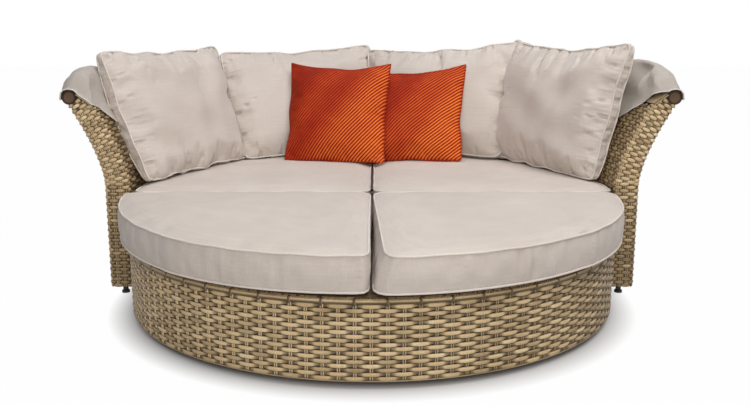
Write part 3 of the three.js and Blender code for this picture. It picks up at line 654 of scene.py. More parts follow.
@dataclass(frozen=True)
class WallProfile:
    """The back wall's leaning section: radius at each height, in metres."""

    inner_radius: float = 0.883
    thickness: float = 0.074
    flare_start: float = 0.420
    flare_rise: float = 0.307
    flare_reach: float = 0.130
    flare_power: float = 1.5

    def inner(self, height: Array) -> Array:
        """Returns the inner face's radius."""
        share = np.maximum(0.0, (height - self.flare_start) / self.flare_rise)
        return self.inner_radius + self.flare_reach * share ** self.flare_power

    def slope(self, height: Array) -> Array:
        """Returns how fast the radius grows with height."""
        share = np.maximum(0.0, (height - self.flare_start) / self.flare_rise)
        return self.flare_reach * self.flare_power / self.flare_rise * share ** (self.flare_power - 1)

    def heights(self, low: float, high: float, pitch: float) -> Array:
        """Steps up the leaning wall.

        Args:
            low: the lowest height.
            high: the highest height.
            pitch: the distance between two steps, along the wall.

        Returns:
            The height of each step.
        """
        fine = np.linspace(low, high, 400)
        run = np.concatenate([[0.0], np.cumsum(np.hypot(np.diff(fine), np.diff(self.inner(fine))))])
        return np.interp(np.arange(0.0, run[-1], pitch), run, fine)


# Sections as (across, out) pairs, in widths and heights of the strand or band
STRAND_SHAPE = np.array([(-0.5, 0.0), (-0.43, 0.55), (-0.22, 0.92), (0.22, 0.92), (0.43, 0.55), (0.5, 0.0),
                         (0.0, -0.55)])
BAND_SHAPE = np.array([(-0.5, -0.3), (0.5, -0.3), (0.46, 0.5), (0.0, 0.8), (-0.46, 0.5)])
WRAP_SHAPE = np.array([(-0.5, -0.4), (0.5, -0.4), (0.42, 0.5), (0.0, 0.9), (-0.42, 0.5)])
# The section of a rib's hooked end, in metres
HOOK_SECTION = np.array([(-0.004, -0.001), (0.004, -0.001), (0.003, 0.0012), (-0.003, 0.0012)])


@dataclass(frozen=True)
class Weave:
    """Plain weave of rounded strands over pairs of thin upright ribs, in metres."""

    row_pitch: float = 0.0122
    rib_pitch: float = 0.0455
    over_width: float = 0.0138
    under_width: float = 0.0098
    strand_height: float = 0.0042
    wave: float = 0.0026
    rib_radius: float = 0.0028
    rib_spread: float = 0.0031
    rib_wave: float = 0.0024
    squareness: float = 0.6
    strand_tones: tuple[float, float] = (0.25, 0.75)
    rib_tones: tuple[float, float] = (0.45, 0.95)
    tone_wave: float = 0.25
    steps: int = 5

    def strand(self, buffer: MeshBuffer, place: Place, run: Array, row: int, source: np.random.Generator,
               painted_darkening: Array | float = 0.0) -> None:
        """Adds one horizontal strand.

        Args:
            buffer: collects the mesh.
            place: gives a point and a normal for a place in rib pitches and row pitches.
            run: stations along the strand, in rib pitches.
            row: its row number.
            source: the tones' random numbers.
            painted_darkening: painted shade, how far its tone is darkened, one value or one for each
                station.
        """
        point, normal = place(run, np.full_like(run, row + 0.5))
        over = np.cos(math.pi * (run + row))
        lift = np.sign(over) * np.abs(over) ** self.squareness
        width = self.under_width + (self.over_width - self.under_width) * (0.5 + 0.5 * lift)
        height = np.broadcast_to(STRAND_SHAPE[:, 1] * self.strand_height, (len(run), len(STRAND_SHAPE)))
        section = np.stack([STRAND_SHAPE[:, 0] * width[:, None], height], axis=-1)[:, ::-1]
        tone = source.uniform(*self.strand_tones)
        # Painted shade: the tone is lowered where the strand is painted darker
        tone = tone + self.tone_wave * soft_noise(run, int(source.integers(1 << 30)), 7.0) - painted_darkening
        path = point + normal * (lift * self.wave)[:, None]
        # Painted shade: lit is lower where the strand tucks under
        buffer.add_rings(rings_along(path, normal, section), np.clip(tone, 0.0, 1.0), lit=0.5 + 0.5 * lift)

    def strands(self, buffer: MeshBuffer, place: Place, start: float, end: float, rows: Iterable[int],
                seed: int, end_painted_shade: float = 0.0) -> None:
        """Adds the horizontal strands of several rows.

        Args:
            buffer: collects the mesh.
            place: as for one strand.
            start: where each strand starts, in rib pitches.
            end: where it ends.
            rows: row numbers.
            seed: start of the tones.
            end_painted_shade: painted shade, how far the tone is darkened at both ends.
        """
        source = np.random.default_rng(seed)
        run = np.linspace(start, end, max(4, int((end - start) * self.steps) + 1))
        # Painted shade: darker towards both ends of each strand
        painted_darkening = end_painted_shade * np.abs(2 * (run - start) / (end - start) - 1) ** 3
        for row in rows:
            self.strand(buffer, place, run, row, source, painted_darkening)

    def ribs(self, buffer: MeshBuffer, place: Place, numbers: Iterable[int], low: float, high: float,
             seed: int, spacing: float) -> None:
        """Adds the pairs of upright ribs.

        Args:
            buffer: collects the mesh.
            place: as for the strands.
            numbers: rib numbers.
            low: where each rib starts, in row pitches.
            high: where it ends.
            seed: start of the tones.
            spacing: the rib pitch, in metres.
        """
        source = np.random.default_rng(seed)
        section = round_section(self.rib_radius, 6)
        for number in numbers:
            for side in (-1, 1):
                climb = np.linspace(low, high, int((high - low) * 2) + 1)
                point, normal = place(np.full_like(climb, number + side * self.rib_spread / spacing), climb)
                lift = -np.cos(math.pi * (number + climb - 0.5)) * self.rib_wave
                path = point + normal * lift[:, None]
                buffer.add_rings(rings_along(path, normal, section), source.uniform(*self.rib_tones))


WALL = WallProfile()
WEAVE = Weave()


def on_circle(angle: Array, radius: Array, height: Array) -> Array:
    """Returns points round the plan circle, in the row frame."""
    angle, radius, height = np.broadcast_arrays(angle, radius, height)
    return np.stack([radius * np.cos(angle), CENTRE_Y + radius * np.sin(angle), height], axis=-1)


def round_place(start_angle: float, step: float, radius_at: Callable, slope_at: Callable,
                heights: Array, facing: int) -> Place:
    """Makes the place function of a face that runs round the plan circle.

    Args:
        start_angle: the angle of rib 0.
        step: the angle between ribs.
        radius_at: radius of the strands' middle at a height.
        slope_at: how fast the radius grows with height.
        heights: height of each row line.
        facing: 1 if the face looks outward, -1 if it looks inward.

    Returns:
        The place function.
    """

    def place(ribs: Array, rows: Array) -> tuple[Array, Array]:
        """Finds places on the face.

        Args:
            ribs: places along it, in rib pitches.
            rows: places up it, in row pitches.

        Returns:
            The points and the directions that the weave faces.
        """
        angle = start_angle + step * ribs
        height = np.interp(rows, np.arange(len(heights)), heights)
        slope = slope_at(height)
        out = unit(np.stack([np.cos(angle), np.sin(angle), -slope], axis=-1))
        return on_circle(angle, radius_at(height), height), out * facing

    return place


@dataclass
class WovenOttoman:
    """The ottoman's half-round skirt and its flat back, sizes in metres and turns in radians."""

    finishes: Finishes
    radius: float = 0.8470
    bottom: float = 0.024
    top: float = 0.246
    tip_turn: float = 0.0110
    cord_radius: float = 0.0034
    band_width: float = 0.0125
    band_height: float = 0.0040
    band_stand: float = 0.0035
    hook_stands: tuple[float, ...] = (0.0066, 0.0074, 0.0064, -0.002)
    lip_pitch: float = 0.0088
    lip_radius: float = 0.0030
    lip_slant: float = 0.030
    lip_run: float = 0.022
    lip_rise: float = 0.0040
    # Painted shade: how far the skirt's strands are darkened towards both ends
    end_painted_shade: float = 1.5
    buffer: MeshBuffer = field(default_factory=MeshBuffer, init=False)

    @property
    def start(self) -> float:
        """Returns the angle of the skirt's first rib."""
        return math.pi + self.tip_turn

    @property
    def span(self) -> float:
        """Returns the angle that the skirt fills."""
        return math.pi - 2 * self.tip_turn

    @property
    def count(self) -> int:
        """Returns how many rib pitches go round the skirt."""
        return round(self.radius * self.span / WEAVE.rib_pitch)

    @property
    def band_top(self) -> float:
        """Returns the height of the band's upper edge."""
        return self.top + self.band_width

    def build(self) -> None:
        """Weaves the skirt and the flat panel that meets the sofa."""
        self.skirt()
        flat_panel("ottoman_woven_back", "ottoman_back_weave", 1, self.finishes, Body.OTTOMAN, 21)

    def skirt(self) -> None:
        """Weaves the skirt, with a cord at its foot and a border at its top."""
        count = self.count
        rows = int((self.top - self.bottom) / WEAVE.row_pitch)
        pitch = (self.top - self.bottom) / rows
        heights = self.bottom + pitch * np.arange(rows + 1)
        place = round_place(self.start, self.span / count, lambda z: np.full_like(z, self.radius),
                            np.zeros_like, heights, 1)
        buffer = self.buffer
        WEAVE.strands(buffer, place, 0.0, count, range(rows), 11, self.end_painted_shade)
        WEAVE.ribs(buffer, place, range(count + 1), 0.1, rows - 0.1, 12, self.radius * self.span / count)
        run = np.linspace(0, count, count * 3)
        point, normal = place(run, np.zeros_like(run))
        cord = rings_along(point + normal * 0.001, normal, round_section(self.cord_radius, 8))
        buffer.add_rings(cord, 0.55 + 0.25 * soft_noise(run, 13, 6.0))
        self.band()
        source = np.random.default_rng(15)
        self.hooks(source)
        self.lips(source)
        piece = buffer.build("ottoman_woven_skirt", self.finishes.strand)
        dress(piece, Body.OTTOMAN, "wicker", "ottoman_skirt_weave")

    def band(self) -> None:
        """Adds the flat band along the skirt's top."""
        turns = np.linspace(self.start, self.start + self.span, self.count * 3)
        section = BAND_SHAPE * np.array([self.band_width, self.band_height])
        path = on_circle(turns, self.radius + self.band_stand, self.top + self.band_width / 2)
        outward = np.stack([np.cos(turns), np.sin(turns), np.zeros_like(turns)], axis=-1)
        tone = 0.6 + 0.2 * soft_noise(turns, 14, 0.3)
        self.buffer.add_rings(rings_along(path, outward, section[::-1]), tone)

    def hooks(self, source: np.random.Generator) -> None:
        """Adds the ends of every second rib, hooked over the band.

        Args:
            source: the tones' random numbers.
        """
        heights = np.array([self.top - 0.004, self.top + self.band_width / 2, self.band_top,
                            self.band_top + 0.003])
        for number in range(0, self.count + 1, 2):
            angle = self.start + self.span * number / self.count
            path = on_circle(np.full(4, angle), self.radius + np.array(self.hook_stands), heights)
            along = np.array([-math.sin(angle), math.cos(angle), 0.0])
            rings = rings_along(path, np.cross(tangents(path), along), HOOK_SECTION)
            self.buffer.add_rings(rings, source.uniform(0.5, 0.8))

    def lips(self, source: np.random.Generator) -> None:
        """Adds the slanting strands that turn in over the deck.

        Args:
            source: the tones' random numbers.
        """
        count = int(self.radius * self.span / self.lip_pitch)
        climb = np.linspace(0, 1, 4)
        radius = self.radius + 0.0010 - self.lip_run * climb
        height = self.band_top - 0.0015 + self.lip_rise * climb
        for number in range(count):
            angle = self.start + self.span * (number + 0.5) / count + (climb - 0.5) * self.lip_slant
            rings = rings_along(on_circle(angle, radius, height), UP, round_section(self.lip_radius, 6))
            # Painted shade: the turned-in strands are darkened in colour under the pad's edge
            self.buffer.add_rings(rings, source.uniform(0.1, 0.6), lit=0.5)


def flat_panel(name: str, node: str, facing: int, finishes: Finishes, body: Body, seed: int) -> None:
    """Weaves an upright flat panel in the space of its CAD node.

    Args:
        name: the piece's name.
        node: the CAD node that it replaces.
        facing: 1 if its good side looks to the back, -1 if it looks to the front.
        finishes: the daybed's finishes.
        body: what it rides on.
        seed: start of the tones.
    """
    low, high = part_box(node)
    width, middle = high.x - low.x, (low.y + high.y) / 2
    count, rows = round(width / WEAVE.rib_pitch), int((high.z - low.z) / WEAVE.row_pitch)
    room = (WEAVE.strand_height + WEAVE.wave) / 2

    def place(ribs: Array, lines: Array) -> tuple[Array, Array]:
        """Finds places on the panel.

        Args:
            ribs: places along it, in rib pitches.
            lines: places up it, in row pitches.

        Returns:
            The points and the directions that the weave faces.
        """
        along = low.x + width * (ribs / count if facing < 0 else 1 - ribs / count)
        height = low.z + (high.z - low.z) * lines / rows
        point = np.stack([along, np.full_like(along, middle), height], axis=-1)
        return point, np.broadcast_to([0.0, float(facing), 0.0], point.shape)

    buffer = MeshBuffer()
    squeezed = Weave(wave=room - 0.0006, strand_height=room, rib_wave=0.0004, rib_radius=0.0018)
    squeezed.strands(buffer, place, 0.0, count, range(rows), seed)
    squeezed.ribs(buffer, place, range(1, count), 0.1, rows - 0.1, seed + 1, width / count)
    dress(buffer.build(name, finishes.strand), body, "wicker", node)


def dress(piece: Piece, body: Body, slot: str, *nodes: str) -> None:
    """Puts a piece on its body and hides the nodes that it stands for.

    Args:
        piece: the piece.
        body: what it rides on.
        slot: not used.
        nodes: the CAD nodes that it replaces, if any.
    """
    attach(piece, body.value)
    if nodes:
        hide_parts(*nodes)
    log.info("%s rides on %s, with %d faces", piece.name, body.value, len(piece.data.polygons))


@dataclass
class WovenSofa:
    """The sofa's flared back, its arm ends, rim, caps and front apron, in metres."""

    finishes: Finishes
    ribs_round: int = 66
    skirt_bottom: float = 0.034
    inner_bottom: float = 0.268
    top: float = 0.7005
    skin: float = 0.003
    face_start: float = 0.45
    rim_radius: float = 1.068
    rim_height: float = 0.729
    roll_radius: float = 0.026
    wrap_width: float = 0.0105
    wrap_height: float = 0.0022
    arm_top: float = 0.765
    arm_corner: float = 0.012
    arm_reach: float = 0.030
    arm_stand: float = 0.0035
    arm_rib_pitch: float = 0.0247
    arm_rib_top: float = 0.700
    # Painted shade: how far the arm ends' strands are darkened at the floor, fading out at this height
    arm_painted_shade: float = 0.84
    painted_shade_top: float = 0.56
    arm_border: tuple = ((0.995, 0.7035), (1.043, 0.7390))
    arm_border_radius: float = 0.0042
    cap_clearance: float = 0.0245
    cap_cord: float = 0.0036

    def build(self) -> None:
        """Weaves both faces of the back, and both arms with their caps, the rim and the apron."""
        self.face("sofa_woven_back_outer", "back_outer_weave", 1)
        self.face("sofa_woven_back_inner", "back_inner_weave", -1)
        self.arm_end("left", -1)
        self.arm_end("right", 1)
        self.rim()
        self.cap("left", -1)
        self.cap("right", 1)
        flat_panel("sofa_woven_apron", "sofa_front_apron", -1, self.finishes, Body.SOFA, 31)

    def face(self, name: str, node: str, facing: int) -> None:
        """Weaves one face of the flared wall.

        Args:
            name: the piece's name.
            node: the CAD node that it replaces.
            facing: 1 for the outer face, -1 for the inner face.
        """
        count, half_turn = self.ribs_round, math.pi
        bottom = self.skirt_bottom if facing > 0 else self.inner_bottom
        heights = WALL.heights(bottom, self.top, WEAVE.row_pitch)
        offset = WALL.thickness - self.skin if facing > 0 else self.skin
        place = round_place(0.0, half_turn / count, lambda z: WALL.inner(z) + offset, WALL.slope, heights,
                            facing)
        rows = len(heights) - 1
        buffer = MeshBuffer()
        WEAVE.strands(buffer, place, self.face_start, count - self.face_start, range(rows), 41 + facing)
        WEAVE.ribs(buffer, place, range(1, count), 0.0, rows, 43 + facing, half_turn * 0.95 / count)
        # Painted shade: the inner face gets the darker copy of the strand finish
        material = self.finishes.strand if facing > 0 else self.finishes.strand_painted_shade
        dress(buffer.build(name, material), Body.SOFA, "wicker", node)

    def arm_outline(self) -> Array:
        """Traces the arm end's skin in plan, from the wall's inner side round the front to its outer side.

        Returns:
            Points as (across the wall, behind the front).
        """
        width, corner, reach = WALL.thickness, self.arm_corner, self.arm_reach
        bend = np.linspace(0, math.pi / 2, 6)
        return np.vstack([
            np.stack([np.zeros(4), np.linspace(reach, corner, 4, endpoint=False)], axis=1),
            np.stack([corner - corner * np.cos(bend), corner - corner * np.sin(bend)], axis=1),
            np.stack([np.linspace(corner, width - corner, 8)[1:-1], np.zeros(6)], axis=1),
            np.stack([width - corner + corner * np.sin(bend), corner - corner * np.cos(bend)], axis=1),
            np.stack([np.full(4, width), np.linspace(corner, reach, 5)[1:]], axis=1)])

    def arm_place(self, side: int, heights: Array) -> Place:
        """Makes the place function of an arm's end.

        Args:
            side: -1 for left, 1 for right.
            heights: height of each row line.

        Returns:
            The place function; its ribs 1 and 2 stand either side of the arm's middle.
        """
        outline = self.arm_outline()
        run = distance_along(outline)
        turn = unit(np.gradient(outline, axis=0))
        width, front = WALL.thickness, CENTRE_Y - self.arm_stand

        def place(ribs: Array, rows: Array) -> tuple[Array, Array]:
            """Finds places on the arm's end.

            Args:
                ribs: places along the outline, in rib pitches.
                rows: places up it, in row pitches.

            Returns:
                The points and the directions that the weave faces.
            """
            at = run[-1] / 2 + (ribs - 1.5) * self.arm_rib_pitch
            across, depth = np.interp(at, run, outline[:, 0]), np.interp(at, run, outline[:, 1])
            along = unit(np.stack([np.interp(at, run, turn[:, 0]), np.interp(at, run, turn[:, 1])], axis=-1))
            inner = np.interp(rows, np.arange(len(heights)), heights)
            slope = WALL.slope(inner)
            drop = width * slope / (1 + slope ** 2)
            share = across / width
            radius = WALL.inner(inner) * (1 - share) + (WALL.inner(inner - drop) + width) * share
            point = np.stack([side * radius, front + depth, inner - drop * share], axis=-1)
            normal = np.stack([side * along[..., 1], -along[..., 0], np.zeros_like(inner)], axis=-1)
            return point, normal

        return place

    def kept_stations(self, point: Array) -> Array:
        """Picks the stations of a row that lie below the rim and clear of its cap.

        Args:
            point: the row's points.

        Returns:
            The numbers of the first unbroken run of them.
        """
        out, height = np.abs(point[:, 0]), point[:, 2]
        beside_cap = np.hypot(out - self.rim_radius, height - self.rim_height) > self.cap_clearance
        top_line = 0.7035 + 0.74 * (out - 1.0)
        at_front = point[:, 1] < CENTRE_Y + 0.010
        below_rim = (height < self.top) | (at_front & (height < top_line))
        kept = np.flatnonzero(beside_cap & below_rim)
        breaks = np.flatnonzero(np.diff(kept) > 1)
        return kept[:breaks[0] + 1] if len(breaks) else kept

    def arm_end(self, label: str, side: int) -> None:
        """Weaves the end of one arm, wrapped a little way round both of its edges.

        Args:
            label: left or right.
            side: -1 for left, 1 for right.
        """
        heights = WALL.heights(self.skirt_bottom, self.arm_top, WEAVE.row_pitch)
        place = self.arm_place(side, heights)
        buffer = MeshBuffer()
        source = np.random.default_rng(51 + side)
        stations = np.linspace(-1.1, 4.1, 37)
        for row in range(len(heights) - 1):
            point, _ = place(stations, np.full_like(stations, row + 0.5))
            kept = self.kept_stations(point)
            if len(kept) > 3:
                # Painted shade: the arm's strands are darker towards the floor
                painted_darkening = self.arm_painted_shade * max(0.0, 1 - heights[row] / self.painted_shade_top)
                WEAVE.strand(buffer, place, stations[kept], row, source, painted_darkening)
        rows = int(np.searchsorted(heights, self.arm_rib_top))
        WEAVE.ribs(buffer, place, range(4), 0.0, rows, 53 + side, self.arm_rib_pitch)
        out, height = np.linspace(*self.arm_border, 8).T
        border = np.column_stack([side * out, np.full(8, CENTRE_Y - self.arm_stand - 0.001), height])
        buffer.add_rings(rings_along(border, TO_FRONT, round_section(self.arm_border_radius, 8)), 0.6)
        piece = buffer.build(f"sofa_woven_arm_end_{label}", self.finishes.strand)
        dress(piece, Body.SOFA, "wicker", f"arm_end_weave_{label}")

    def rim_outline(self, steps: int, shrink: float = 0.0) -> Array:
        """Traces the rim's section from the inner lip over the top.

        Args:
            steps: points round the roll.
            shrink: how far the outline lies inside the rim's skin.

        Returns:
            Points as (radius, height).
        """
        lip = float(WALL.inner(np.array(0.7027))) + 0.006
        turns = np.linspace(math.radians(128), math.radians(-90), steps)
        roll = np.stack([self.rim_radius + (self.roll_radius - shrink) * np.cos(turns),
                         self.rim_height + (self.roll_radius - shrink) * np.sin(turns)], axis=1)
        inner = [(lip, 0.703 + shrink), (lip - 0.0055 + shrink, 0.7055), (lip - 0.005 + shrink, 0.711)]
        return np.concatenate([np.array(inner), roll])

    def rim(self) -> None:
        """Wraps the rolled rim with strands side by side."""
        outline = self.rim_outline(14, self.wrap_height)
        count = int(math.pi * self.rim_radius / self.wrap_width)
        source = np.random.default_rng(61)
        buffer = MeshBuffer()
        section = WRAP_SHAPE * np.array([self.wrap_width * 0.98, self.wrap_height])
        middle = outline.mean(axis=0)
        out = np.roll(outline, -1, axis=0) - np.roll(outline, 1, axis=0)
        for i in range(count):
            angle = math.pi * (i + 0.5) / count
            path = on_circle(np.full(len(outline), angle), outline[:, 0], outline[:, 1])
            inward = (-math.cos(angle), -math.sin(angle))
            normal = np.stack([out[:, 1] * inward[0], out[:, 1] * inward[1], out[:, 0]], axis=-1)
            centre = on_circle(angle, middle[0], middle[1])
            normal = unit(normal) * np.sign(np.sum((path - centre) * normal, axis=1, keepdims=True))
            rings = rings_along(path, normal, section, closed=True)
            buffer.add_rings(rings, source.uniform(0.15, 0.85), closed=True)
        piece = buffer.build("sofa_woven_rim", self.finishes.strand)
        dress(piece, Body.SOFA, "wicker", "back_rim_weave")

    def cap(self, label: str, side: int) -> None:
        """Makes the dark cap on one end of the rim: a thin plate with a rolled ring round a sunken middle.

        Args:
            label: left or right.
            side: -1 for left, 1 for right.
        """
        back = CENTRE_Y - 0.0003
        outline = self.rim_outline(18)
        middle = outline.mean(axis=0)
        plate = []
        for share, depth in ((1.0, 0.0), (1.0, 0.0016), (0.5, 0.0020), (0.04, 0.0020)):
            loop = middle + (outline - middle) * share
            place = np.full(len(loop), back - depth)
            plate.append(np.stack([side * loop[:, 0], place, loop[:, 1]], axis=-1))
        buffer = MeshBuffer()
        buffer.add_rings(np.array(plate) if side > 0 else np.array(plate)[:, ::-1], 0.15)
        ring = self.cap_circle(side, 1.0, CENTRE_Y - 0.0050)
        cord = rings_along(ring, TO_FRONT, round_section(self.cap_cord, 10), closed=True)
        buffer.add_rings(cord, 0.0, closed=True)
        dish = []
        for share, depth in ((1.0, 0.0020), (1.0, 0.0040), (0.80, 0.0026), (0.05, 0.0024)):
            disc = self.cap_circle(side, share, back - depth)
            dish.append(disc if side > 0 else disc[::-1])
        buffer.add_rings(np.array(dish), np.array([0.6, 0.8, 1.0, 1.0]))
        piece = buffer.build(f"rim_cap_{label}", self.finishes.cap)
        dress(piece, Body.SOFA, "rim_cap", f"rim_end_cap_{label}")

    def cap_circle(self, side: int, share: float, depth: float) -> Array:
        """Traces a circle round the roll's middle, on the front of one rim end.

        Args:
            side: -1 for left, 1 for right.
            share: its radius as a share of the cap ring's.
            depth: its place along y.

        Returns:
            The circle's points.
        """
        turns = np.arange(32) * 2 * math.pi / 32
        radius = (self.roll_radius - self.cap_cord) * share
        return np.stack([side * (self.rim_radius + radius * np.cos(turns)), np.full(32, depth),
                         self.rim_height + radius * np.sin(turns)], axis=-1)


# Cushions


@dataclass
class PanelGrid:
    """A cushion panel: a grid of plan points stretched between four sides."""

    sides: Sides
    plan: Array = field(init=False)
    shares: Array = field(init=False)

    def __post_init__(self) -> None:
        """Fills the grid from its near, right, far and left sides."""
        near, right, far, left = self.sides
        u = np.linspace(0, 1, len(near))[:, None, None]
        v = np.linspace(0, 1, len(left))[None, :, None]
        corners = near[0], near[-1], far[0], far[-1]
        self.plan = (1 - v) * near[:, None] + v * far[:, None] + (1 - u) * left[None] + u * right[None]
        self.plan -= (1 - u) * (1 - v) * corners[0] + u * (1 - v) * corners[1]
        self.plan -= (1 - u) * v * corners[2] + u * v * corners[3]
        self.shares = np.concatenate(np.broadcast_arrays(u, v), axis=-1)

    @property
    def loop(self) -> Array:
        """Numbers the grid's edge.

        Returns:
            The vertex numbers, turning right-handed.
        """
        wide, deep = self.plan.shape[:2]
        number = np.arange(wide * deep).reshape(wide, deep)
        return np.concatenate([number[:-1, 0], number[-1, :-1], number[:0:-1, -1], number[0, :0:-1]])


def resampled(points: Array, count: int) -> Array:
    """Spaces points evenly along a line.

    Args:
        points: the line's corners.
        count: how many points are wanted.

    Returns:
        The new points, both ends among them.
    """
    run = distance_along(points)
    at = np.linspace(0, run[-1], count)
    return np.stack([np.interp(at, run, points[:, k]) for k in range(points.shape[1])], axis=1)


@dataclass(frozen=True)
class Filling:
    """How a cushion is stuffed.

    The crowns are the panels' heights in metres. Fullness is their profile's power: the lower, the
    flatter the middle. Pressure and growth drive the cloth, which may move by the cap, in metres.
    """

    front_crown: float
    rear_crown: float
    fullness: float
    pressure: float
    growth: float
    cap: float


@dataclass(frozen=True)
class Creases:
    """How deep, long and far apart a cushion's puckers are, and how deep its folds and ripples."""

    pucker: float
    reach: float
    spacing: float
    fold: float
    band: float
    seed: int


@dataclass
class Cushion:
    """A sewn cushion: two crowned panels, a side band between two seams, and piping on the seams.

    The band's bulge, the seam wave, the bow and the skew are in metres, and the pinch is the share of
    the thickness that the corners lose. The floor is the lowest height that the cloth may reach.
    """

    name: str
    sides: Sides
    thickness: float
    filling: Filling
    creases: Creases
    matrix: Matrix
    band_rows: int = 3
    band_bulge: float = 0.004
    seam_wave: float = 0.0
    pinch: float = 0.0
    pinch_reach: float = 0.050
    bow: float = 0.0
    skew: float = 0.0
    skew_reach: float = 0.09
    rounds: int = 2
    seam_sharpness: float = 0.9
    fill_frames: int = 20
    floor: float | None = None

    def build(self, material: Material) -> Piece:
        """Sews and fills the cushion, in the row frame.

        Args:
            material: its finish.

        Returns:
            The cushion without its piping.
        """
        self.panel = PanelGrid(self.sides)
        self.flat = self.panel.plan.reshape(-1, 2)
        self.loop = self.panel.loop
        self.edge = self.flat[self.loop]
        self.run = distance_along(self.edge)
        self.piece = mesh_object(self.name, self.start_points(), self.start_faces(), material)
        self.store_places()
        self.piece.data.transform(self.matrix)
        self.fill()
        self.subdivide()
        self.crease()
        return self.piece

    def start_points(self) -> Array:
        """Shapes the sewn cover before it is filled: front panel, rear panel, then the rows of the band.

        Returns:
            The vertices, along the cushion's width, height and front.
        """
        u, v = self.panel.shares.reshape(-1, 2).T
        swell = np.clip(16 * u * (1 - u) * v * (1 - v), 0, 1) ** self.filling.fullness
        corners = self.panel.plan[[0, 0, -1, -1], [0, -1, 0, -1]]
        apart = np.linalg.norm(self.flat[:, None] - corners[None], axis=-1).min(axis=1)
        narrow = 1 - self.pinch * np.exp(-(apart / self.pinch_reach) ** 2)
        half = self.thickness / 2 * narrow
        a, b = self.flat.T
        toward_side = np.clip(a / a.max(), 0, 1) ** 1.2
        shift = self.skew * np.exp(-((b - b.min()) / self.skew_reach) ** 2) * toward_side
        front = np.column_stack([a, b + shift, half + self.filling.front_crown * swell])
        rear = np.column_stack([self.flat, -half - self.filling.rear_crown * swell])
        wave = self.seam_wave * soft_noise(self.run, self.creases.seed + 17, 0.13)
        front[self.loop, 2] += wave
        along = np.roll(self.edge, -1, axis=0) - np.roll(self.edge, 1, axis=0)
        outward = unit(np.stack([along[:, 1], -along[:, 0]], axis=1))
        band = []
        for row in range(1, self.band_rows + 1):
            share = row / (self.band_rows + 1)
            ring = self.edge + outward * self.band_bulge * math.sin(math.pi * share)
            ring[:, 1] += shift[self.loop] * share
            depth = (share - 0.5) * self.thickness * narrow[self.loop] + wave * share
            band.append(np.column_stack([ring, depth]))
        points = np.concatenate([front, rear, *band])
        height = np.ptp(self.flat[:, 1])
        points[:, 2] -= self.bow * np.cos(math.pi * np.clip(points[:, 1] / height, -0.5, 0.5))
        return points

    def start_faces(self) -> list[tuple[int, ...]]:
        """Joins the vertices of both panels and of the band between them.

        Returns:
            The vertex numbers of each face.
        """
        count, around = len(self.flat), len(self.loop)
        number = np.arange(count).reshape(self.panel.plan.shape[:2])
        quads = np.stack([number[:-1, :-1], number[1:, :-1], number[1:, 1:], number[:-1, 1:]], axis=-1)
        quads = quads.reshape(-1, 4)
        rows = [self.loop + count]
        rows += [np.arange(around) + 2 * count + row * around for row in range(self.band_rows)]
        rows.append(self.loop)
        faces = [quads, quads[:, ::-1] + count]
        for lower, upper in zip(rows, rows[1:]):
            faces.append(np.stack([lower, np.roll(lower, -1), np.roll(upper, -1), upper], axis=-1))
        return np.concatenate(faces).tolist()

    def store_places(self) -> None:
        """Stores where each vertex lies on its panel, and marks the seams as sharp."""
        count, mesh = len(self.flat), self.piece.data
        band = np.tile(self.edge, (self.band_rows, 1))
        places = np.concatenate([self.flat, self.flat, band])
        store_attribute(self.piece, "plan_a", places[:, 0])
        store_attribute(self.piece, "plan_b", places[:, 1])
        faced = np.concatenate([np.ones(count), -np.ones(count), np.zeros(len(band))])
        store_attribute(self.piece, "panel", faced)
        for key, values in zip(("share_u", "share_v"), self.panel.shares.reshape(-1, 2).T):
            store_attribute(self.piece, key, np.concatenate([values, values, np.zeros(len(band))]))
        seams = {frozenset((int(a) + shift, int(b) + shift)) for shift in (0, count)
                 for a, b in zip(self.loop, np.roll(self.loop, -1))}
        sharp = [self.seam_sharpness if frozenset(edge.vertices) in seams else 0.0
                 for edge in mesh.edges]
        mesh.attributes.new("crease_edge", "FLOAT", "EDGE").data.foreach_set("value", sharp)

    def fill(self) -> None:
        """Swells the cushion as cloth under pressure, holding its seams."""
        piece = self.piece
        start = points_of(piece.data)
        group = piece.vertex_groups.new(name="seam")
        count = len(self.flat)
        seams = [int(i) + shift for i in self.loop for shift in (0, count)]
        group.add(seams, 1.0, "REPLACE")
        cloth = piece.modifiers.new("fill", "CLOTH")
        settings = cloth.settings
        settings.quality = 4
        settings.mass = 0.25
        settings.tension_stiffness = settings.compression_stiffness = 12.0
        settings.shear_stiffness = 6.0
        settings.bending_stiffness = 0.4
        settings.use_pressure = True
        settings.uniform_pressure_force = self.filling.pressure
        settings.shrink_min = -self.filling.growth
        settings.effector_weights.gravity = 0.0
        settings.vertex_group_mass = "seam"
        cloth.collision_settings.use_collision = False
        cloth.point_cache.frame_start, cloth.point_cache.frame_end = 1, self.fill_frames
        scene = bpy.context.scene
        for step in range(1, self.fill_frames + 1):
            scene.frame_set(step)
        filled = piece.evaluated_get(bpy.context.evaluated_depsgraph_get())
        moved = points_of(filled.to_mesh()) - start
        filled.to_mesh_clear()
        piece.modifiers.clear()
        piece.vertex_groups.clear()
        scene.frame_set(1)
        length = np.maximum(np.linalg.norm(moved, axis=1, keepdims=True), 1e-9)
        move_points(piece.data, start + moved * np.minimum(1.0, self.filling.cap / length))

    def subdivide(self) -> None:
        """Rounds the mesh, and keeps the paths that the seams take."""
        rounding = self.piece.modifiers.new("round", "SUBSURF")
        rounding.levels = rounding.render_levels = self.rounds
        apply_modifiers(self.piece)
        points = points_of(self.piece.data)
        centre = points.mean(axis=0)
        count = len(self.flat)
        self.seam_paths = [points[self.loop], points[self.loop + count]]
        self.seam_out = [unit(path - centre) for path in self.seam_paths]

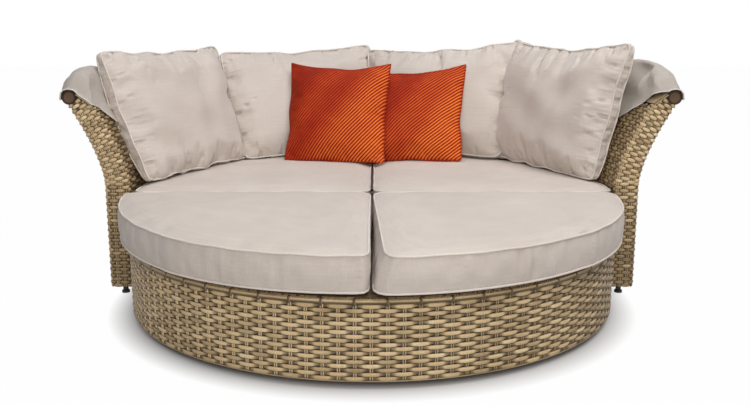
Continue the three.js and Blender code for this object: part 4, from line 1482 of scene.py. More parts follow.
    def crease(self) -> None:
        """Draws short puckers in from the seams, and long soft folds across the panels."""
        mesh = self.piece.data
        points, normals = points_of(mesh), normals_of(mesh)
        place = np.column_stack([read_attribute(mesh, "plan_a"), read_attribute(mesh, "plan_b")])
        nearest, distance = nearest_points(place, self.edge)
        run = self.run[nearest]
        panel = read_attribute(mesh, "panel")
        on_panel = np.clip(np.abs(panel) * 2 - 1, 0, 1)
        marks = self.creases
        line = soft_noise(run + 0.3 * distance + np.sign(panel) * 3.1, marks.seed, marks.spacing * 3.2)
        valley = np.exp(-(line / 0.24) ** 2)
        uneven = np.clip(0.5 + 0.6 * soft_noise(run, marks.seed + 1, 0.21, 3), 0, 1.2)
        length = marks.reach * (0.35 + 1.1 * uneven)
        edge_rise = 1 - np.exp(-distance / 0.006)
        pucker = -valley * np.exp(-(distance / length) ** 1.5) * marks.pucker
        swell = soft_noise(run, marks.seed + 2, marks.spacing * 1.4) * np.exp(-distance / 0.04)
        swell = swell * marks.pucker * 0.35
        a, b = place.T
        slant = soft_noise(a * 0.8 + b * 1.3, marks.seed + 3, 0.34, 4)
        slant = slant * soft_noise(b - a * 0.6, marks.seed + 5, 0.5, 3)
        cross = soft_noise(a * 1.2 - b * 0.9, marks.seed + 8, 0.27, 4)
        cross = cross * soft_noise(b + a, marks.seed + 9, 0.6, 3)
        fold = (slant + cross) * marks.fold * (1 - np.exp(-distance / 0.05))
        ripple = soft_noise(run, marks.seed + 7, 0.045) * marks.band * (1 - on_panel)
        shift = (pucker + swell) * edge_rise * on_panel + fold * on_panel + ripple
        points = points + normals * shift[:, None]
        if self.floor is not None:
            low = points[:, 2] < self.floor
            points[low, 2] = self.floor + (points[low, 2] - self.floor) * 0.02
        move_points(mesh, points)

    def piping(self, radius: float, out: float, material: Material) -> Piece:
        """Lays the piping on both seams.

        Args:
            radius: the cord's radius.
            out: how far it stands out from the seam.
            material: its finish.

        Returns:
            Both cords as one object.
        """
        buffer = MeshBuffer()
        for path, away in zip(self.seam_paths, self.seam_out):
            line = path + away * out
            if self.floor is not None:
                line[:, 2] = np.maximum(line[:, 2], self.floor + radius)
            cord = rings_along(line, away, round_section(radius, 8), closed=True)
            buffer.add_rings(cord, closed=True)
        return buffer.build(f"{self.name}_piping", material)


def nearest_points(places: Array, loop: Array) -> tuple[Array, Array]:
    """Finds the nearest point of a loop for each place.

    Args:
        places: plan places.
        loop: the loop's points.

    Returns:
        The nearest points' numbers and their distances.
    """
    batch = 4000
    nearest = np.zeros(len(places), int)
    distance = np.zeros(len(places))
    for start in range(0, len(places), batch):
        part = slice(start, start + batch)
        apart = np.linalg.norm(places[part, None] - loop[None], axis=-1)
        nearest[part] = apart.argmin(axis=1)
        distance[part] = apart.min(axis=1)
    return nearest, distance


def arc(x: float, y: float, size: float, first: float, last: float, steps: int = 12) -> Array:
    """Traces an arc in plan.

    Args:
        x: its centre's first value.
        y: its centre's second value.
        size: its radius.
        first: the angle that it starts at.
        last: the angle that it ends at.
        steps: how many points it has.

    Returns:
        Its points.
    """
    turn = np.linspace(first, last, steps)
    return np.stack([x + size * np.cos(turn), y + size * np.sin(turn)], axis=1)


@dataclass
class SeatCushions:
    """The four quarter-circle seat cushions."""

    finishes: Finishes
    front_radius: float = 0.878
    rear_radius: float = 0.872
    gap: float = 0.0068
    bottom: float = 0.2655
    top_seam_drop: float = 0.021
    low_seam_rise: float = 0.018
    points: int = 30
    piping_radius: float = 0.0034
    piping_stand: float = 0.0022
    outer_corner: float = 0.044
    centre_corner: float = 0.042
    draw_in: float = 0.002
    loose_side: float = 0.034
    creases: Creases = Creases(pucker=0.0024, reach=0.030, spacing=0.110, fold=0.0010, band=0.0013,
                               seed=100)

    def build(self) -> None:
        """Builds all four with their piping; only the first has a loose side."""
        places = (("front_seat_cushion_right", 270, self.front_radius, Body.OTTOMAN),
                  ("front_seat_cushion_left", 180, self.front_radius, Body.OTTOMAN),
                  ("rear_seat_cushion_right", 0, self.rear_radius, Body.SOFA),
                  ("rear_seat_cushion_left", 90, self.rear_radius, Body.SOFA))
        for number, (node, bearing, radius, body) in enumerate(places):
            self.cushion(number, node, bearing, radius, body)

    def sides(self, radius: float) -> Sides:
        """Traces a panel, in the quarter where both values are positive.

        Args:
            radius: the outer arc's radius.

        Returns:
            The panel's four sides.
        """
        outer, centre = self.outer_corner, self.gap + self.centre_corner
        level = self.gap + outer
        reach = math.sqrt((radius - outer) ** 2 - level ** 2)
        start = math.atan2(level, reach)
        down = -0.5 * math.pi
        halfway = (start + down) / 2
        near = np.concatenate([arc(centre, centre, self.centre_corner, 1.25 * math.pi, 1.5 * math.pi),
                               arc(reach, level, outer, down, halfway)])
        right = np.concatenate([arc(reach, level, outer, halfway, start),
                                arc(0, 0, radius, start, math.pi / 4, 30)[1:]])
        near, right = resampled(near, self.points), resampled(right, self.points)
        near[:, 1] += self.draw_in * np.sin(math.pi * np.linspace(0, 1, self.points)) ** 1.5
        return near, right, right[::-1, ::-1], near[:, ::-1]

    def cushion(self, number: int, node: str, bearing: float, radius: float, body: Body) -> None:
        """Builds one cushion.

        Args:
            number: its order, for its own creases.
            node: the CAD node that it replaces.
            bearing: the turn from the first quarter, in degrees.
            radius: its outer radius.
            body: what it rides on.
        """
        top_seam = SEAT_TOP - self.top_seam_drop
        low_seam = self.bottom + self.low_seam_rise
        turn = Matrix.Rotation(math.radians(bearing), 4, "Z")
        matrix = Matrix.Translation((0, CENTRE_Y, (top_seam + low_seam) / 2)) @ turn
        filling = Filling(front_crown=self.top_seam_drop - 0.004, rear_crown=self.low_seam_rise - 0.002,
                          fullness=0.28, pressure=1.2, growth=0.012, cap=0.006)
        creases = replace(self.creases, seed=self.creases.seed + number)
        cushion = Cushion(f"seat_pad_{node}", self.sides(radius), top_seam - low_seam, filling, creases,
                          matrix, band_rows=5, seam_wave=0.0010,
                          skew=self.loose_side if number == 0 else 0.0, floor=self.bottom)
        piece = cushion.build(self.finishes.seat)
        dress(piece, body, "seat_fabric", node)
        piping = cushion.piping(self.piping_radius, self.piping_stand, self.finishes.piping)
        dress(piping, body, "seat_fabric")


@dataclass(frozen=True)
class SquarePanel:
    """A square cushion's panel, cut from its lower left, lower right, upper right and upper left corner.

    The draws are how far its lower, right, upper and left side are drawn in. A sharpness below 1 makes
    the corners stand out like ears, and wobble is how uneven the sides are.
    """

    corners: tuple[tuple[float, float], ...]
    draws: tuple[float, ...]
    rounding: float
    wide: int
    deep: int
    seed: int
    sharpness: float
    wobble: float

    def side(self, number: int) -> Array:
        """Traces one side, from its corner to the next.

        Args:
            number: 0 for the lower side, and so on right-handed.

        Returns:
            Its points.
        """
        start, end = (np.array(self.corners[corner % 4], float) for corner in (number, number + 1))
        length = float(np.linalg.norm(end - start))
        along = (end - start) / length
        inward = np.array([-along[1], along[0]])
        first = self.rounding * (1 - math.sqrt(0.5))
        at = np.linspace(first, length - first, self.deep if number % 2 else self.wide)
        to_end = np.minimum(np.minimum(at, length - at), self.rounding)
        rounded = self.rounding - np.sqrt(self.rounding ** 2 - (self.rounding - to_end) ** 2)
        arch = np.sin(math.pi * at / length)
        uneven = self.wobble * arch * soft_noise(at, self.seed + number, 0.2)
        pull = rounded + self.draws[number] * arch ** self.sharpness + uneven
        return start + along * at[:, None] + inward * pull[:, None]

    def sides(self) -> Sides:
        """Joins the four sides at their corners.

        Returns:
            The panel's four sides.
        """
        lines = [self.side(number) for number in range(4)]
        for number, line in enumerate(lines):
            after = lines[(number + 1) % 4]
            line[-1] = after[0] = (line[-1] + after[0]) / 2
        return lines[0], lines[1], lines[2][::-1], lines[3][::-1]


@dataclass(frozen=True)
class Stand:
    """Where a leaning cushion stands: plan place of its lower edge, turns in degrees and sizes in metres.

    The lifts raise its upper corners, the bow is how far its middle height leans back, and the draws
    are how far its lower, right, upper and left side are pulled in.
    """

    node: str
    x: float
    y: float
    bearing: float
    lean: float
    lower_width: float
    upper_width: float
    height: float
    roll: float = 0.0
    right_lift: float = 0.0
    left_lift: float = 0.0
    bow: float = 0.0
    draws: tuple[float, float, float, float] = (0.006, 0.006, 0.020, 0.006)

    def matrix(self, base: float) -> Matrix:
        """Places the cushion's middle; its own axes are its width, its height and its front.

        Args:
            base: height of its lower edge.

        Returns:
            The cushion's place in the row frame.
        """
        stand = Matrix(((1, 0, 0, 0), (0, 0, -1, 0), (0, 1, 0, 0), (0, 0, 0, 1)))
        bearing = Matrix.Rotation(math.radians(self.bearing), 4, "Z")
        lean = Matrix.Rotation(math.radians(-self.lean), 4, "X")
        roll = Matrix.Rotation(math.radians(self.roll), 4, "Z")
        lift = Matrix.Translation((0, self.height / 2, 0)) @ roll
        return Matrix.Translation((self.x, CENTRE_Y + self.y, base)) @ (bearing @ lean) @ stand @ lift

    def corners(self, ear: float) -> tuple[tuple[float, float], ...]:
        """Lists the corners, with the upper two drawn out into ears.

        Args:
            ear: how far the upper corners stand out.

        Returns:
            The lower left, lower right, upper right and upper left corner.
        """
        low, half = self.lower_width / 2, self.height / 2
        high, top = self.upper_width / 2 + ear * 0.4, half + ear
        return (-low, -half), (low, -half), (high, top + self.right_lift), (-high, top + self.left_lift)


def round_stand(node: str, bearing: float, lean: float, distance: float, shift: float, *sizes: float,
                **details: float | tuple) -> Stand:
    """Places a cushion that leans on the round back.

    Args:
        node: the CAD node that it stands for.
        bearing: its direction from the plan circle's centre, in degrees.
        lean: how far it leans back.
        distance: how far its lower edge is from the centre.
        shift: how far it is moved along its own width.
        sizes: its lower width, upper width, height and roll.
        details: lifts, bow and draws.

    Returns:
        The cushion's stand.
    """
    turn = math.radians(bearing)
    x = -distance * math.sin(turn) + shift * math.cos(turn)
    y = distance * math.cos(turn) + shift * math.sin(turn)
    return Stand(node, x, y, bearing, lean, *sizes, **details)


@dataclass
class BackCushions:
    """The four big cushions that lean on the curved back."""

    finishes: Finishes
    edge: float = 0.040
    sink: float = 0.004
    ear: float = 0.010
    piping_radius: float = 0.0032
    piping_stand: float = 0.0018
    filling: Filling = Filling(front_crown=0.056, rear_crown=0.028, fullness=0.42, pressure=3.0,
                               growth=0.035, cap=0.020)
    creases: Creases = Creases(pucker=0.0135, reach=0.050, spacing=0.060, fold=0.0056, band=0.0034,
                               seed=200)
    stands: tuple[Stand, ...] = (
        round_stand("back_cushion_side_left", 63.3, 21.1, 0.772, 0.016, 0.628, 0.684, 0.474, 0.0,
                    right_lift=0.014, left_lift=0.018, bow=0.024, draws=(0.006, -0.012, 0.024, 0.004)),
        round_stand("back_cushion_middle_left", 21.7, 22.5, 0.776, 0.022, 0.602, 0.686, 0.470, 1.0,
                    right_lift=0.012, left_lift=0.000, bow=0.006, draws=(0.006, 0.004, 0.026, -0.012)),
        round_stand("back_cushion_middle_right", -22.8, 18.8, 0.748, -0.028, 0.582, 0.710, 0.466, 2.0,
                    right_lift=0.030, left_lift=0.002, bow=0.006, draws=(0.006, 0.004, 0.032, 0.004)),
        round_stand("back_cushion_side_right", -61.0, 14.0, 0.786, -0.022, 0.640, 0.680, 0.474, -0.8,
                    right_lift=0.038, left_lift=0.022, bow=0.004, draws=(0.006, 0.004, 0.040, 0.000)))

    def build(self) -> None:
        """Builds all four with their piping."""
        for number, stand in enumerate(self.stands):
            self.cushion(number, stand)

    def cushion(self, number: int, stand: Stand) -> None:
        """Builds one cushion.

        Args:
            number: its order, for its own creases.
            stand: its place and sizes.
        """
        creases = replace(self.creases, seed=self.creases.seed + number * 11)
        panel = SquarePanel(stand.corners(self.ear), stand.draws, rounding=0.024, wide=44, deep=36,
                            seed=creases.seed, sharpness=0.8, wobble=0.004)
        base = SEAT_TOP - self.sink + self.edge / 2 * math.sin(math.radians(stand.lean))
        cushion = Cushion(f"back_pad_{stand.node}", panel.sides(), self.edge, self.filling, creases,
                          stand.matrix(base), seam_wave=0.0030, pinch=0.45, bow=stand.bow,
                          floor=CUSHION_FLOOR)
        piece = cushion.build(self.finishes.seat)
        dress(piece, Body.SOFA, "seat_fabric", stand.node)
        piping = cushion.piping(self.piping_radius, self.piping_stand, self.finishes.piping)
        dress(piping, Body.SOFA, "seat_fabric")


@dataclass
class ScatterCushions:
    """The two small velvet cushions with diagonal pin tucks."""

    finishes: Finishes
    filling: Filling = Filling(front_crown=0.050, rear_crown=0.050, fullness=0.50, pressure=3.0,
                               growth=0.02, cap=0.012)
    creases: Creases = Creases(pucker=0.0030, reach=0.030, spacing=0.060, fold=0.0020, band=0.0, seed=300)
    draws: tuple[float, ...] = (0.007, 0.012, 0.030, 0.012)
    ear: float = 0.006
    lift: float = 0.0012
    sink: float = 0.008
    tuck_pitch: float = 0.0110
    tuck_height: float = 0.0018
    bend: float = -0.125
    stands: tuple[Stand, ...] = (
        Stand("scatter_cushion_left", -0.161, 0.548, -9.5, 21.6, 0.432, 0.434, 0.434),
        Stand("scatter_cushion_right", 0.147, 0.566, -11.0, 23.0, 0.432, 0.474, 0.428, 3.6,
              right_lift=-0.008, left_lift=-0.014))
    slants: tuple[float, ...] = (49.0, 39.0)

    def build(self) -> None:
        """Builds both."""
        for number, stand in enumerate(self.stands):
            self.cushion(number, stand)

    def cushion(self, number: int, stand: Stand) -> None:
        """Builds one cushion.

        Args:
            number: its order, for its own creases.
            stand: its place and sizes.
        """
        creases = replace(self.creases, seed=self.creases.seed + number * 13)
        panel = SquarePanel(stand.corners(self.ear), self.draws, rounding=0.006, wide=54, deep=54,
                            seed=creases.seed, sharpness=0.75, wobble=0.003)
        matrix = stand.matrix(SEAT_TOP + self.lift - self.sink)
        cushion = Cushion(f"scatter_pad_{stand.node}", panel.sides(), 0.004, self.filling, creases, matrix,
                          band_rows=1, band_bulge=0.001, floor=CUSHION_FLOOR)
        piece = cushion.build(self.finishes.velvet)
        self.tucks(piece, cushion, math.radians(self.slants[number]))
        dress(piece, Body.SOFA, "scatter_velvet", stand.node)

    def tucks(self, piece: Piece, cushion: Cushion, slant: float) -> None:
        """Raises the pin tucks that run from the lower left to the upper right, and stores their painted
        shade and painted highlight.

        Args:
            piece: the cushion's mesh.
            cushion: its seams.
            slant: the tucks' angle from level.
        """
        mesh = piece.data
        a, b = read_attribute(mesh, "plan_a"), read_attribute(mesh, "plan_b")
        u, v = read_attribute(mesh, "share_u"), read_attribute(mesh, "share_v")
        _, distance = nearest_points(np.column_stack([a, b]), cushion.edge)
        across = a * math.sin(slant) - b * math.cos(slant) + self.bend * (a + b) ** 2
        across += 0.0012 * soft_noise(a + b, cushion.creases.seed, 0.30)
        wave = 0.5 + 0.5 * np.cos(across * 2 * math.pi / self.tuck_pitch)
        on_panel = np.clip(np.abs(read_attribute(mesh, "panel")) * 2 - 1, 0, 1)
        tuck = wave * on_panel * (1 - np.exp(-distance / 0.004))
        move_points(mesh, points_of(mesh) + normals_of(mesh) * (tuck * self.tuck_height)[:, None])
        # Painted shade: the tuck value darkens the grooves between the tucks in the velvet's colour
        store_attribute(piece, "tuck", tuck)
        # Painted highlight: brighter towards the panel's lower right
        bright = np.clip(u * 0.95 + (1 - v) * 0.55 - 0.28, 0, 1)
        patch = 0.10 * soft_noise(a * 1.0 - b * 0.7, cushion.creases.seed + 4, 0.25)
        store_attribute(piece, "painted_highlight", np.clip(0.12 + 0.88 * bright ** 1.2 + patch, 0, 1))


# Canopy


@dataclass(frozen=True)
class ClothEnd:
    """How the folded cloth runs out at one tip.

    The hem and the crest are lines of degrees from the tip and heights in metres. Hollow is how far
    the cloth sinks in behind its crest, from 0 to 1.
    """

    hem: tuple[tuple[float, float], ...]
    crest: tuple[tuple[float, float], ...]
    hollow: float
    seed: int


def height_at(line: tuple[tuple[float, float], ...], degrees: float) -> float:
    """Returns the height of a line of degrees and heights at one place."""
    places, heights = zip(*line)
    return float(np.interp(degrees, places, heights))


@dataclass(frozen=True)
class Bow:
    """One bow at rest: its radius, and its turn about the hinge in degrees."""

    radius: float
    turn: float


@dataclass
class Canopy:
    """The folded canopy: its cloth over the rim, and the gores between the bows."""

    finishes: Finishes
    thickness: float = 0.0024
    steps_round: int = 340
    steps_across: int = 48
    metres_per_degree: float = 0.0186
    rim_top: float = 0.755
    outer_radius: float = 1.0965
    outer_hem: float = 0.689
    overhang: float = 0.75
    hem_radius: float = 0.0021
    sleeve_radius: float = 0.0112
    left_end: ClothEnd = ClothEnd(
        hem=((0.0, 0.704), (3.2, 0.686), (5.0, 0.657), (6.7, 0.632), (10.0, 0.616)),
        crest=((0.0, 0.772), (0.5, 0.792), (1.3, 0.810), (4.0, 0.825), (8.2, 0.831), (14.6, 0.815),
               (24.0, 0.8275)),
        hollow=0.25, seed=71)
    right_end: ClothEnd = ClothEnd(
        hem=((0.0, 0.750), (0.4, 0.745), (1.6, 0.735), (3.2, 0.721), (6.0, 0.694), (9.6, 0.660),
             (13.5, 0.626), (18.0, 0.615)),
        crest=((0.0, 0.772), (0.5, 0.786), (1.2, 0.800), (3.4, 0.820), (8.3, 0.843), (14.5, 0.849),
               (24.0, 0.8275)),
        hollow=1.0, seed=79)
    hinge_y: float = 0.055
    hinge_z: float = 0.7733
    rim_edge: Bow = Bow(1.085, -1.018)
    bows: tuple[Bow, Bow, Bow] = (Bow(1.068, -0.566), Bow(1.048, 0.834), Bow(1.028, 2.234))
    gore_start: float = 8.0
    gore_depth: float = 0.0025
    gore_sag: float = 0.010
    gore_thickness: float = 0.0014
    gore_rows: int = 16

    def build(self) -> None:
        """Builds the folded cloth, the gores between the bows and the sleeve round each bow."""
        self.folded_cloth()
        bodies = (Body.SOFA, Body.REAR_BOW, Body.MIDDLE_BOW, Body.FRONT_BOW)
        lines = (self.rim_edge, *self.bows)
        for number, name in enumerate(("rear", "middle", "front")):
            lower, upper = lines[number:number + 2]
            self.gore(f"canopy_gore_{name}", lower, upper, *bodies[number:number + 2])
        for bow, body in zip(self.bows, bodies[1:]):
            self.sleeve(bow, body)

    def inside_wall(self, slant: float, swell: float) -> list[tuple[float, float]]:
        """Draws the part that hangs inside the wall, upward.

        Args:
            slant: how far the cloth is dragged aside here.
            swell: 0 at the tip and 1 further in.

        Returns:
            Points of radius and height.
        """
        points = []
        for height in np.linspace(0.600, 0.700, 11):
            rest = min(float(WALL.inner(np.array(height))), 0.9985) - 0.008
            fade = min(1.0, (0.716 - height) / 0.08)
            points.append((rest - (0.003 + 0.004 * slant) * fade * swell, height))
        return points

    def over_rim(self, end: ClothEnd, degrees: float, fold: float, slant: float, swell: float) -> Array:
        """Draws the part over the rim: flat at the tip, and swollen over the folded layers further in.

        Args:
            end: how the cloth runs out at this tip.
            degrees: the place, from the tip.
            fold: how far the cloth folds out here.
            slant: how far it is dragged aside here.
            swell: 0 at the tip and 1 further in.

        Returns:
            Points of radius and height.
        """
        crest = height_at(end.crest, degrees)
        rim = np.array([(0.990, 0.708), (1.004, 0.7205), (1.020, 0.7315), (1.032, 0.7395), (1.040, 0.7495),
                        (1.050, 0.7565), (1.068, 0.7592), (1.084, 0.7555), (1.0940, 0.744)])
        full = np.array([(0.994, 0.722), (1.000, 0.742), (1.005, 0.762), (1.005, 0.785),
                         (1.009, crest - 0.014), (1.026, crest), (1.052, crest + 0.001),
                         (1.078, crest - 0.013), (self.outer_radius, crest - 0.044)])
        top = rim + (full - rim) * swell
        rise = min(1.0, max(0.0, (degrees - 5.0) / 2.5))
        hollow = end.hollow * rise * rise * (3 - 2 * rise)
        hollow = hollow * math.exp(-(max(0.0, degrees - 9.0) / 6.0) ** 2)
        for row, share in ((1, -0.25), (2, -0.35), (3, 0.1), (4, 1.0)):
            top[row, 0] += 0.036 * hollow * share * swell
        top[4, 1] -= 0.012 * hollow * swell
        for row in range(1, 5):
            top[row, 0] += (0.0035 * fold * (1 - 0.3 * row) - 0.005 * max(0.0, slant)) * swell
        return top

    def section(self, angle: float) -> Array:
        """Draws the cloth's middle line at one place, from the inner hem over the top.

        Args:
            angle: the place round the rim.

        Returns:
            Points of radius and height.
        """
        degrees = max(0.0, math.degrees(min(angle, math.pi - angle)))
        end = self.left_end if angle > math.pi / 2 else self.right_end
        along = degrees * self.metres_per_degree
        swell = 1 - math.exp(-degrees / 0.6)
        fold = float(soft_noise(np.array(along), end.seed, 0.16))
        slant = float(soft_noise(np.array(along), end.seed + 1, 0.09))
        top = self.over_rim(end, degrees, fold, slant, swell)
        shoulder = min(0.7285, top[-1, 1] - 0.008)
        flap = min(self.outer_hem + 0.05 * math.exp(-degrees / 5.0) + 0.003 * slant, shoulder - 0.006)
        out = self.outer_radius + (0.0035 + 0.004 * max(-0.5, fold)) * swell
        outside = [(out, height) for height in np.linspace(shoulder, flap, 6)]
        line = resampled(np.array([*self.inside_wall(slant, swell), *top, *outside]), 160)
        above_hem = int(np.argmax(line[:, 1] > height_at(end.hem, degrees)))
        line = resampled(line[above_hem:], self.steps_across)
        run = np.linspace(0.0, 1.0, self.steps_across)
        outer = np.clip((run - 0.42) / 0.3, 0.0, 1.0) * swell
        crease = soft_noise(along + 0.30 * run, end.seed + 2, 0.15)
        crease = crease * soft_noise(along * 0.5 - 0.4 * run, end.seed + 3, 0.5, 3)
        ripple = soft_noise(along - 0.12 * run, end.seed + 4, 0.055)
        line[:, 0] += 0.0045 * outer * (crease + 0.5 * ripple)
        line[:, 1] += 0.0035 * outer * (1 - run) * soft_noise(along + 0.2 * run, end.seed + 5, 0.11)
        return line

    def folded_cloth(self) -> None:
        """Builds the cloth that hangs over the rim and the stacked bows, with its hem."""
        share = np.linspace(0, 1, self.steps_round)
        reach = math.pi + 2 * math.radians(self.overhang)
        angles = reach * share - 0.38 * np.sin(2 * math.pi * share) - math.radians(self.overhang)
        sections = np.array([self.section(angle) for angle in angles])
        inner = sections[1:-1]
        for _ in range(3):
            inner[:, 1:-1] = (inner[:, :-2] + 2 * inner[:, 1:-1] + inner[:, 2:]) / 4
        rings = []
        for angle, line in zip(angles, sections):
            turn = unit(np.gradient(line, axis=0))
            out = np.stack([-turn[:, 1], turn[:, 0]], axis=1) * self.thickness / 2
            loop = np.concatenate([line + out, (line - out)[::-1]])
            rings.append(on_circle(np.full(len(loop), angle), loop[:, 0], loop[:, 1]))
        stack = np.array(rings)
        buffer = MeshBuffer()
        buffer.add_rings(stack[:, ::-1])
        piece = buffer.build("canopy_folded_cloth", self.finishes.canopy)
        dress(piece, Body.SOFA, "canopy_fabric", "canopy_cloth")
        hem = self.hem(angles, sections)
        for part in (piece, hem):
            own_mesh(part)

    def hem(self, angles: Array, sections: Array) -> Piece:
        """Sews the stitched hem along the cloth's edge.

        Args:
            angles: the places round the rim.
            sections: the cloth's middle line at each of them.

        Returns:
            The hem.
        """
        buffer = MeshBuffer()
        section = round_section(self.hem_radius, 6)
        for column in (0, -1):
            path = on_circle(angles, sections[:, column, 0], sections[:, column, 1])
            buffer.add_rings(rings_along(path, UP, section))
        for row in (0, -1):
            angle = np.full(self.steps_across, angles[row])
            path = on_circle(angle, sections[row, :, 0], sections[row, :, 1])
            buffer.add_rings(rings_along(path, TO_FRONT, section))
        piece = buffer.build("canopy_folded_cloth_hem", self.finishes.hem)
        dress(piece, Body.SOFA, "canopy_fabric")
        return piece

    def bow_points(self, angles: Array, radius: Array | float, turn: float, offset: float = 0.0) -> Array:
        """Places a bow-shaped line in a plane through the hinge.

        Args:
            angles: places round the bow.
            radius: its radius.
            turn: the plane's turn about the hinge, in radians.
            offset: how far it lies off the plane.

        Returns:
            Its points.
        """
        reach = radius * np.sin(angles) - self.hinge_y
        y = CENTRE_Y + self.hinge_y + reach * math.cos(turn) - offset * math.sin(turn)
        z = self.hinge_z + reach * math.sin(turn) + offset * math.cos(turn)
        return np.stack([radius * np.cos(angles), y, z], axis=-1)

    def gore(self, name: str, lower: Bow, upper: Bow, below: Body, above: Body) -> None:
        """Builds the cloth between two bows, folded flat between them while the canopy is down.

        Args:
            name: the piece's name.
            lower: the line that it starts from.
            upper: the bow that it ends at.
            below: the body of the first.
            above: the body of the second.
        """
        turn = math.radians((lower.turn + upper.turn) / 2)
        start = math.radians(self.gore_start)
        angles = np.linspace(start, math.pi - start, 120)
        spread = np.linspace(0, 1, self.gore_rows)
        shares = 0.5 - np.sin(np.arcsin(1 - 2 * spread) / 3)
        line = []
        for layer in (0.0, 1.0):
            for share, even in zip(shares, spread):
                radius = lower.radius + (upper.radius - lower.radius) * share
                radius -= self.gore_sag * math.sin(math.pi * even) + self.gore_thickness * layer
                line.append(self.bow_points(angles, radius, turn, self.gore_depth * (2 * share - 1)))
        rows = len(spread)
        order = list(range(rows)) + list(range(2 * rows - 1, rows - 1, -1))
        buffer = MeshBuffer()
        buffer.add_rings(np.array(line)[order].transpose(1, 0, 2))
        piece = buffer.build(name, self.finishes.canopy)
        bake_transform(piece)
        log.info("%s spans %s and %s", name, below.value, above.value)

    def sleeve(self, bow: Bow, body: Body) -> None:
        """Builds the cloth sleeve round one bow.

        Args:
            bow: the bow inside it.
            body: what it rides on.
        """
        start = math.radians(self.gore_start)
        path = self.bow_points(np.linspace(start, math.pi - start, 200), bow.radius, math.radians(bow.turn))
        buffer = MeshBuffer()
        buffer.add_rings(rings_along(path, UP, round_section(self.sleeve_radius, 12)))
        piece = buffer.build(f"canopy_sleeve_{body.value}", self.finishes.canopy)
        dress(piece, body, "canopy_fabric")


# Hardware and studio


@dataclass
class Zip:
    """The black zip tape in the gap between the rear pads, and its puller between the front pads."""

    finishes: Finishes
    below_seat: float = 0.016
    half_width: float = 0.0050
    tape: tuple[float, float] = (0.030, 0.490)
    puller: tuple[float, float] = (-0.052, -0.006)

    def build(self) -> None:
        """Lays both."""
        self.strip("zip_tape", self.tape, Body.SOFA)
        self.strip("zip_puller", self.puller, Body.OTTOMAN)

    def strip(self, name: str, ends: tuple[float, float], body: Body) -> None:
        """Lays a strip with a low ridge along the middle of the bed.

        Args:
            name: the piece's name.
            ends: where it starts and ends, from the bed's centre.
            body: what it rides on.
        """
        half = self.half_width
        section = np.array([(-half, -0.0010), (half, -0.0010), (half, 0.0006), (0.0, 0.0016),
                            (-half, 0.0006)])
        run = CENTRE_Y + np.linspace(*ends, 24)
        level = np.full(len(run), SEAT_TOP - self.below_seat)
        path = np.stack([0.0006 * soft_noise(run, 91, 0.2), run, level], axis=-1)
        buffer = MeshBuffer()
        buffer.add_rings(rings_along(path, UP, section))
        dress(buffer.build(name, self.finishes.zip), body, "seat_fabric")


def finish_hardware(finishes: Finishes) -> None:
    """Gives the carried-over frame nodes their finishes.

    Args:
        finishes: the built materials.
    """
    steel = finishes.steel
    kinds = {"foot": finishes.glide, "frame": finishes.tube, "bow": finishes.bow, "deck": finishes.deck,
             "bracket": steel, "bolt": steel, "nut": steel, "spacer": steel}
    for name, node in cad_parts.items():
        for word, material in kinds.items():
            if word in name:
                node.data.materials.clear()
                node.data.materials.append(material)


def rays_that_show_the_background(tree: bpy.types.NodeTree) -> Socket:
    """Adds the share of rays that see the white background: camera, glossy and transmission rays.

    Args:
        tree: the node tree of the floor or the world.

    Returns:
        The socket that is 1 for those rays.
    """
    path = tree.nodes.new("ShaderNodeLightPath").outputs
    share = path["Is Camera Ray"]
    for ray in ("Is Glossy Ray", "Is Transmission Ray"):
        larger = tree.nodes.new("ShaderNodeMath")
        larger.operation = "MAXIMUM"
        tree.links.new(share, larger.inputs[0])
        tree.links.new(path[ray], larger.inputs[1])
        share = larger.outputs[0]
    return share


@dataclass(frozen=True)
class Lamp:
    """A square soft lamp: its place and size in metres, its power in watts and its colour."""

    name: str
    place: tuple[float, float, float]
    size: float
    power: float
    colour: Colour

    def hang(self, target: Vector) -> None:
        """Hangs the lamp and turns it to a target.

        Args:
            target: the point that it shines at.
        """
        lamp = bpy.data.lights.new(f"studio_{self.name}", "AREA")
        lamp.energy, lamp.size, lamp.color = self.power, self.size, self.colour
        holder = bpy.data.objects.new(f"studio_{self.name}", lamp)
        holder.location = self.place
        holder.rotation_euler = (target - Vector(self.place)).to_track_quat("-Z", "Y").to_euler()
        bpy.context.scene.collection.objects.link(holder)


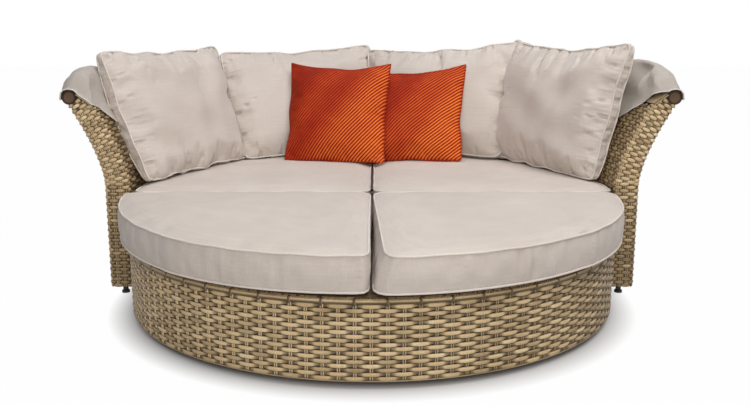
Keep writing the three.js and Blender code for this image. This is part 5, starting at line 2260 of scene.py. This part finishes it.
@dataclass
class Studio:
    """A plain pale floor, soft light and the camera at the photograph's angle.

    The floor turns white between the two fade distances from the bed's centre, in metres.
    """

    focal_pixels: float = 905.0
    image_width: float = 750.0
    sensor: float = 36.0
    camera_place: tuple[float, float, float] = (0.011, -3.310, 1.03)
    pitch: float = 12.0
    floor_size: float = 14.0
    floor_level: float = -0.0005
    fade: tuple[float, float] = (0.83, 0.94)
    floor_white: float = 0.985
    world_colour: Colour = (0.90, 0.93, 1.0)
    world_strength: float = 0.20
    target: tuple[float, float, float] = (0.0, 0.1, 0.4)
    lamps: tuple[Lamp, ...] = (Lamp("key", (-0.1, -4.6, 2.3), 2.2, 98.0, (1.0, 0.965, 0.92)),
                               Lamp("overhead", (0.0, -0.4, 3.8), 3.2, 58.0, (0.98, 0.985, 1.0)),
                               Lamp("side", (1.9, -1.3, 3.7), 1.8, 50.0, (1.0, 0.975, 0.945)))

    def build(self) -> None:
        """Builds the studio."""
        self.floor()
        self.lights()
        self.camera()

    def floor(self) -> None:
        """Lays the pale floor."""
        plan = ((-1, -1), (1, -1), (1, 1), (-1, 1))
        corners = np.array([(x * self.floor_size, y * self.floor_size, self.floor_level) for x, y in plan])
        board = NodeBoard("studio_floor")
        board.set(Roughness=0.9, Specular_IOR_Level=0.0)
        grain = board.noise(board.object_space(), 0.6, 2.0)
        board.colour(board.ramp(grain, ((0.3, (0.54, 0.53, 0.52)), (0.7, (0.58, 0.57, 0.56)))))
        seen = rays_that_show_the_background(board.tree)
        ends = {0: board.object_space(), 1: (0, CENTRE_Y, 0)}
        offset = board.add("ShaderNodeVectorMath", ends, operation="SUBTRACT").outputs[0]
        away = board.add("ShaderNodeVectorMath", {0: offset}, operation="LENGTH").outputs["Value"]
        far = board.mapped(away, *self.fade, 0.0, self.floor_white)
        white = board.add("ShaderNodeEmission", {"Color": (1, 1, 1, 1), "Strength": 1.0})
        mix = board.add("ShaderNodeMixShader", {0: board.times(seen, far)})
        board.tree.links.new(board.shader.outputs[0], mix.inputs[1])
        board.tree.links.new(white.outputs[0], mix.inputs[2])
        board.feed(board.tree.nodes["Material Output"], "Surface", mix.outputs[0])
        mesh_object("studio_floor", corners, [(0, 1, 2, 3)], board.material)

    def lights(self) -> None:
        """Hangs three broad soft lamps in a pale world."""
        world = bpy.data.worlds.new("studio_world")
        bpy.context.scene.world = world
        world.use_nodes = True
        tree = world.node_tree
        tree.nodes.clear()
        output = tree.nodes.new("ShaderNodeOutputWorld")
        seen, ambient = (tree.nodes.new("ShaderNodeBackground") for _ in range(2))
        seen.inputs["Color"].default_value = (1, 1, 1, 1)
        ambient.inputs["Color"].default_value = (*self.world_colour, 1)
        ambient.inputs["Strength"].default_value = self.world_strength
        mix = tree.nodes.new("ShaderNodeMixShader")
        tree.links.new(rays_that_show_the_background(tree), mix.inputs[0])
        tree.links.new(ambient.outputs[0], mix.inputs[1])
        tree.links.new(seen.outputs[0], mix.inputs[2])
        tree.links.new(mix.outputs[0], output.inputs["Surface"])
        for lamp in self.lamps:
            lamp.hang(Vector(self.target))

    def camera(self) -> None:
        """Sets the camera at the photograph's angle."""
        lens = bpy.data.cameras.new("studio_camera")
        lens.sensor_width = self.sensor
        lens.lens = self.focal_pixels / self.image_width * self.sensor
        holder = bpy.data.objects.new("studio_camera", lens)
        holder.location = self.camera_place
        holder.rotation_euler = (math.radians(90 - self.pitch), 0, 0)
        bpy.context.scene.collection.objects.link(holder)
        bpy.context.scene.camera = holder
        bpy.context.scene.view_settings.view_transform = "Standard"


def main() -> None:
    """Builds every sub-assembly in order."""
    finishes = Finishes()
    Studio().build()
    WovenOttoman(finishes).build()
    WovenSofa(finishes).build()
    SeatCushions(finishes).build()
    BackCushions(finishes).build()
    ScatterCushions(finishes).build()
    Canopy(finishes).build()
    Zip(finishes).build()
    finish_hardware(finishes)


if __name__ == "__main__":
    main()
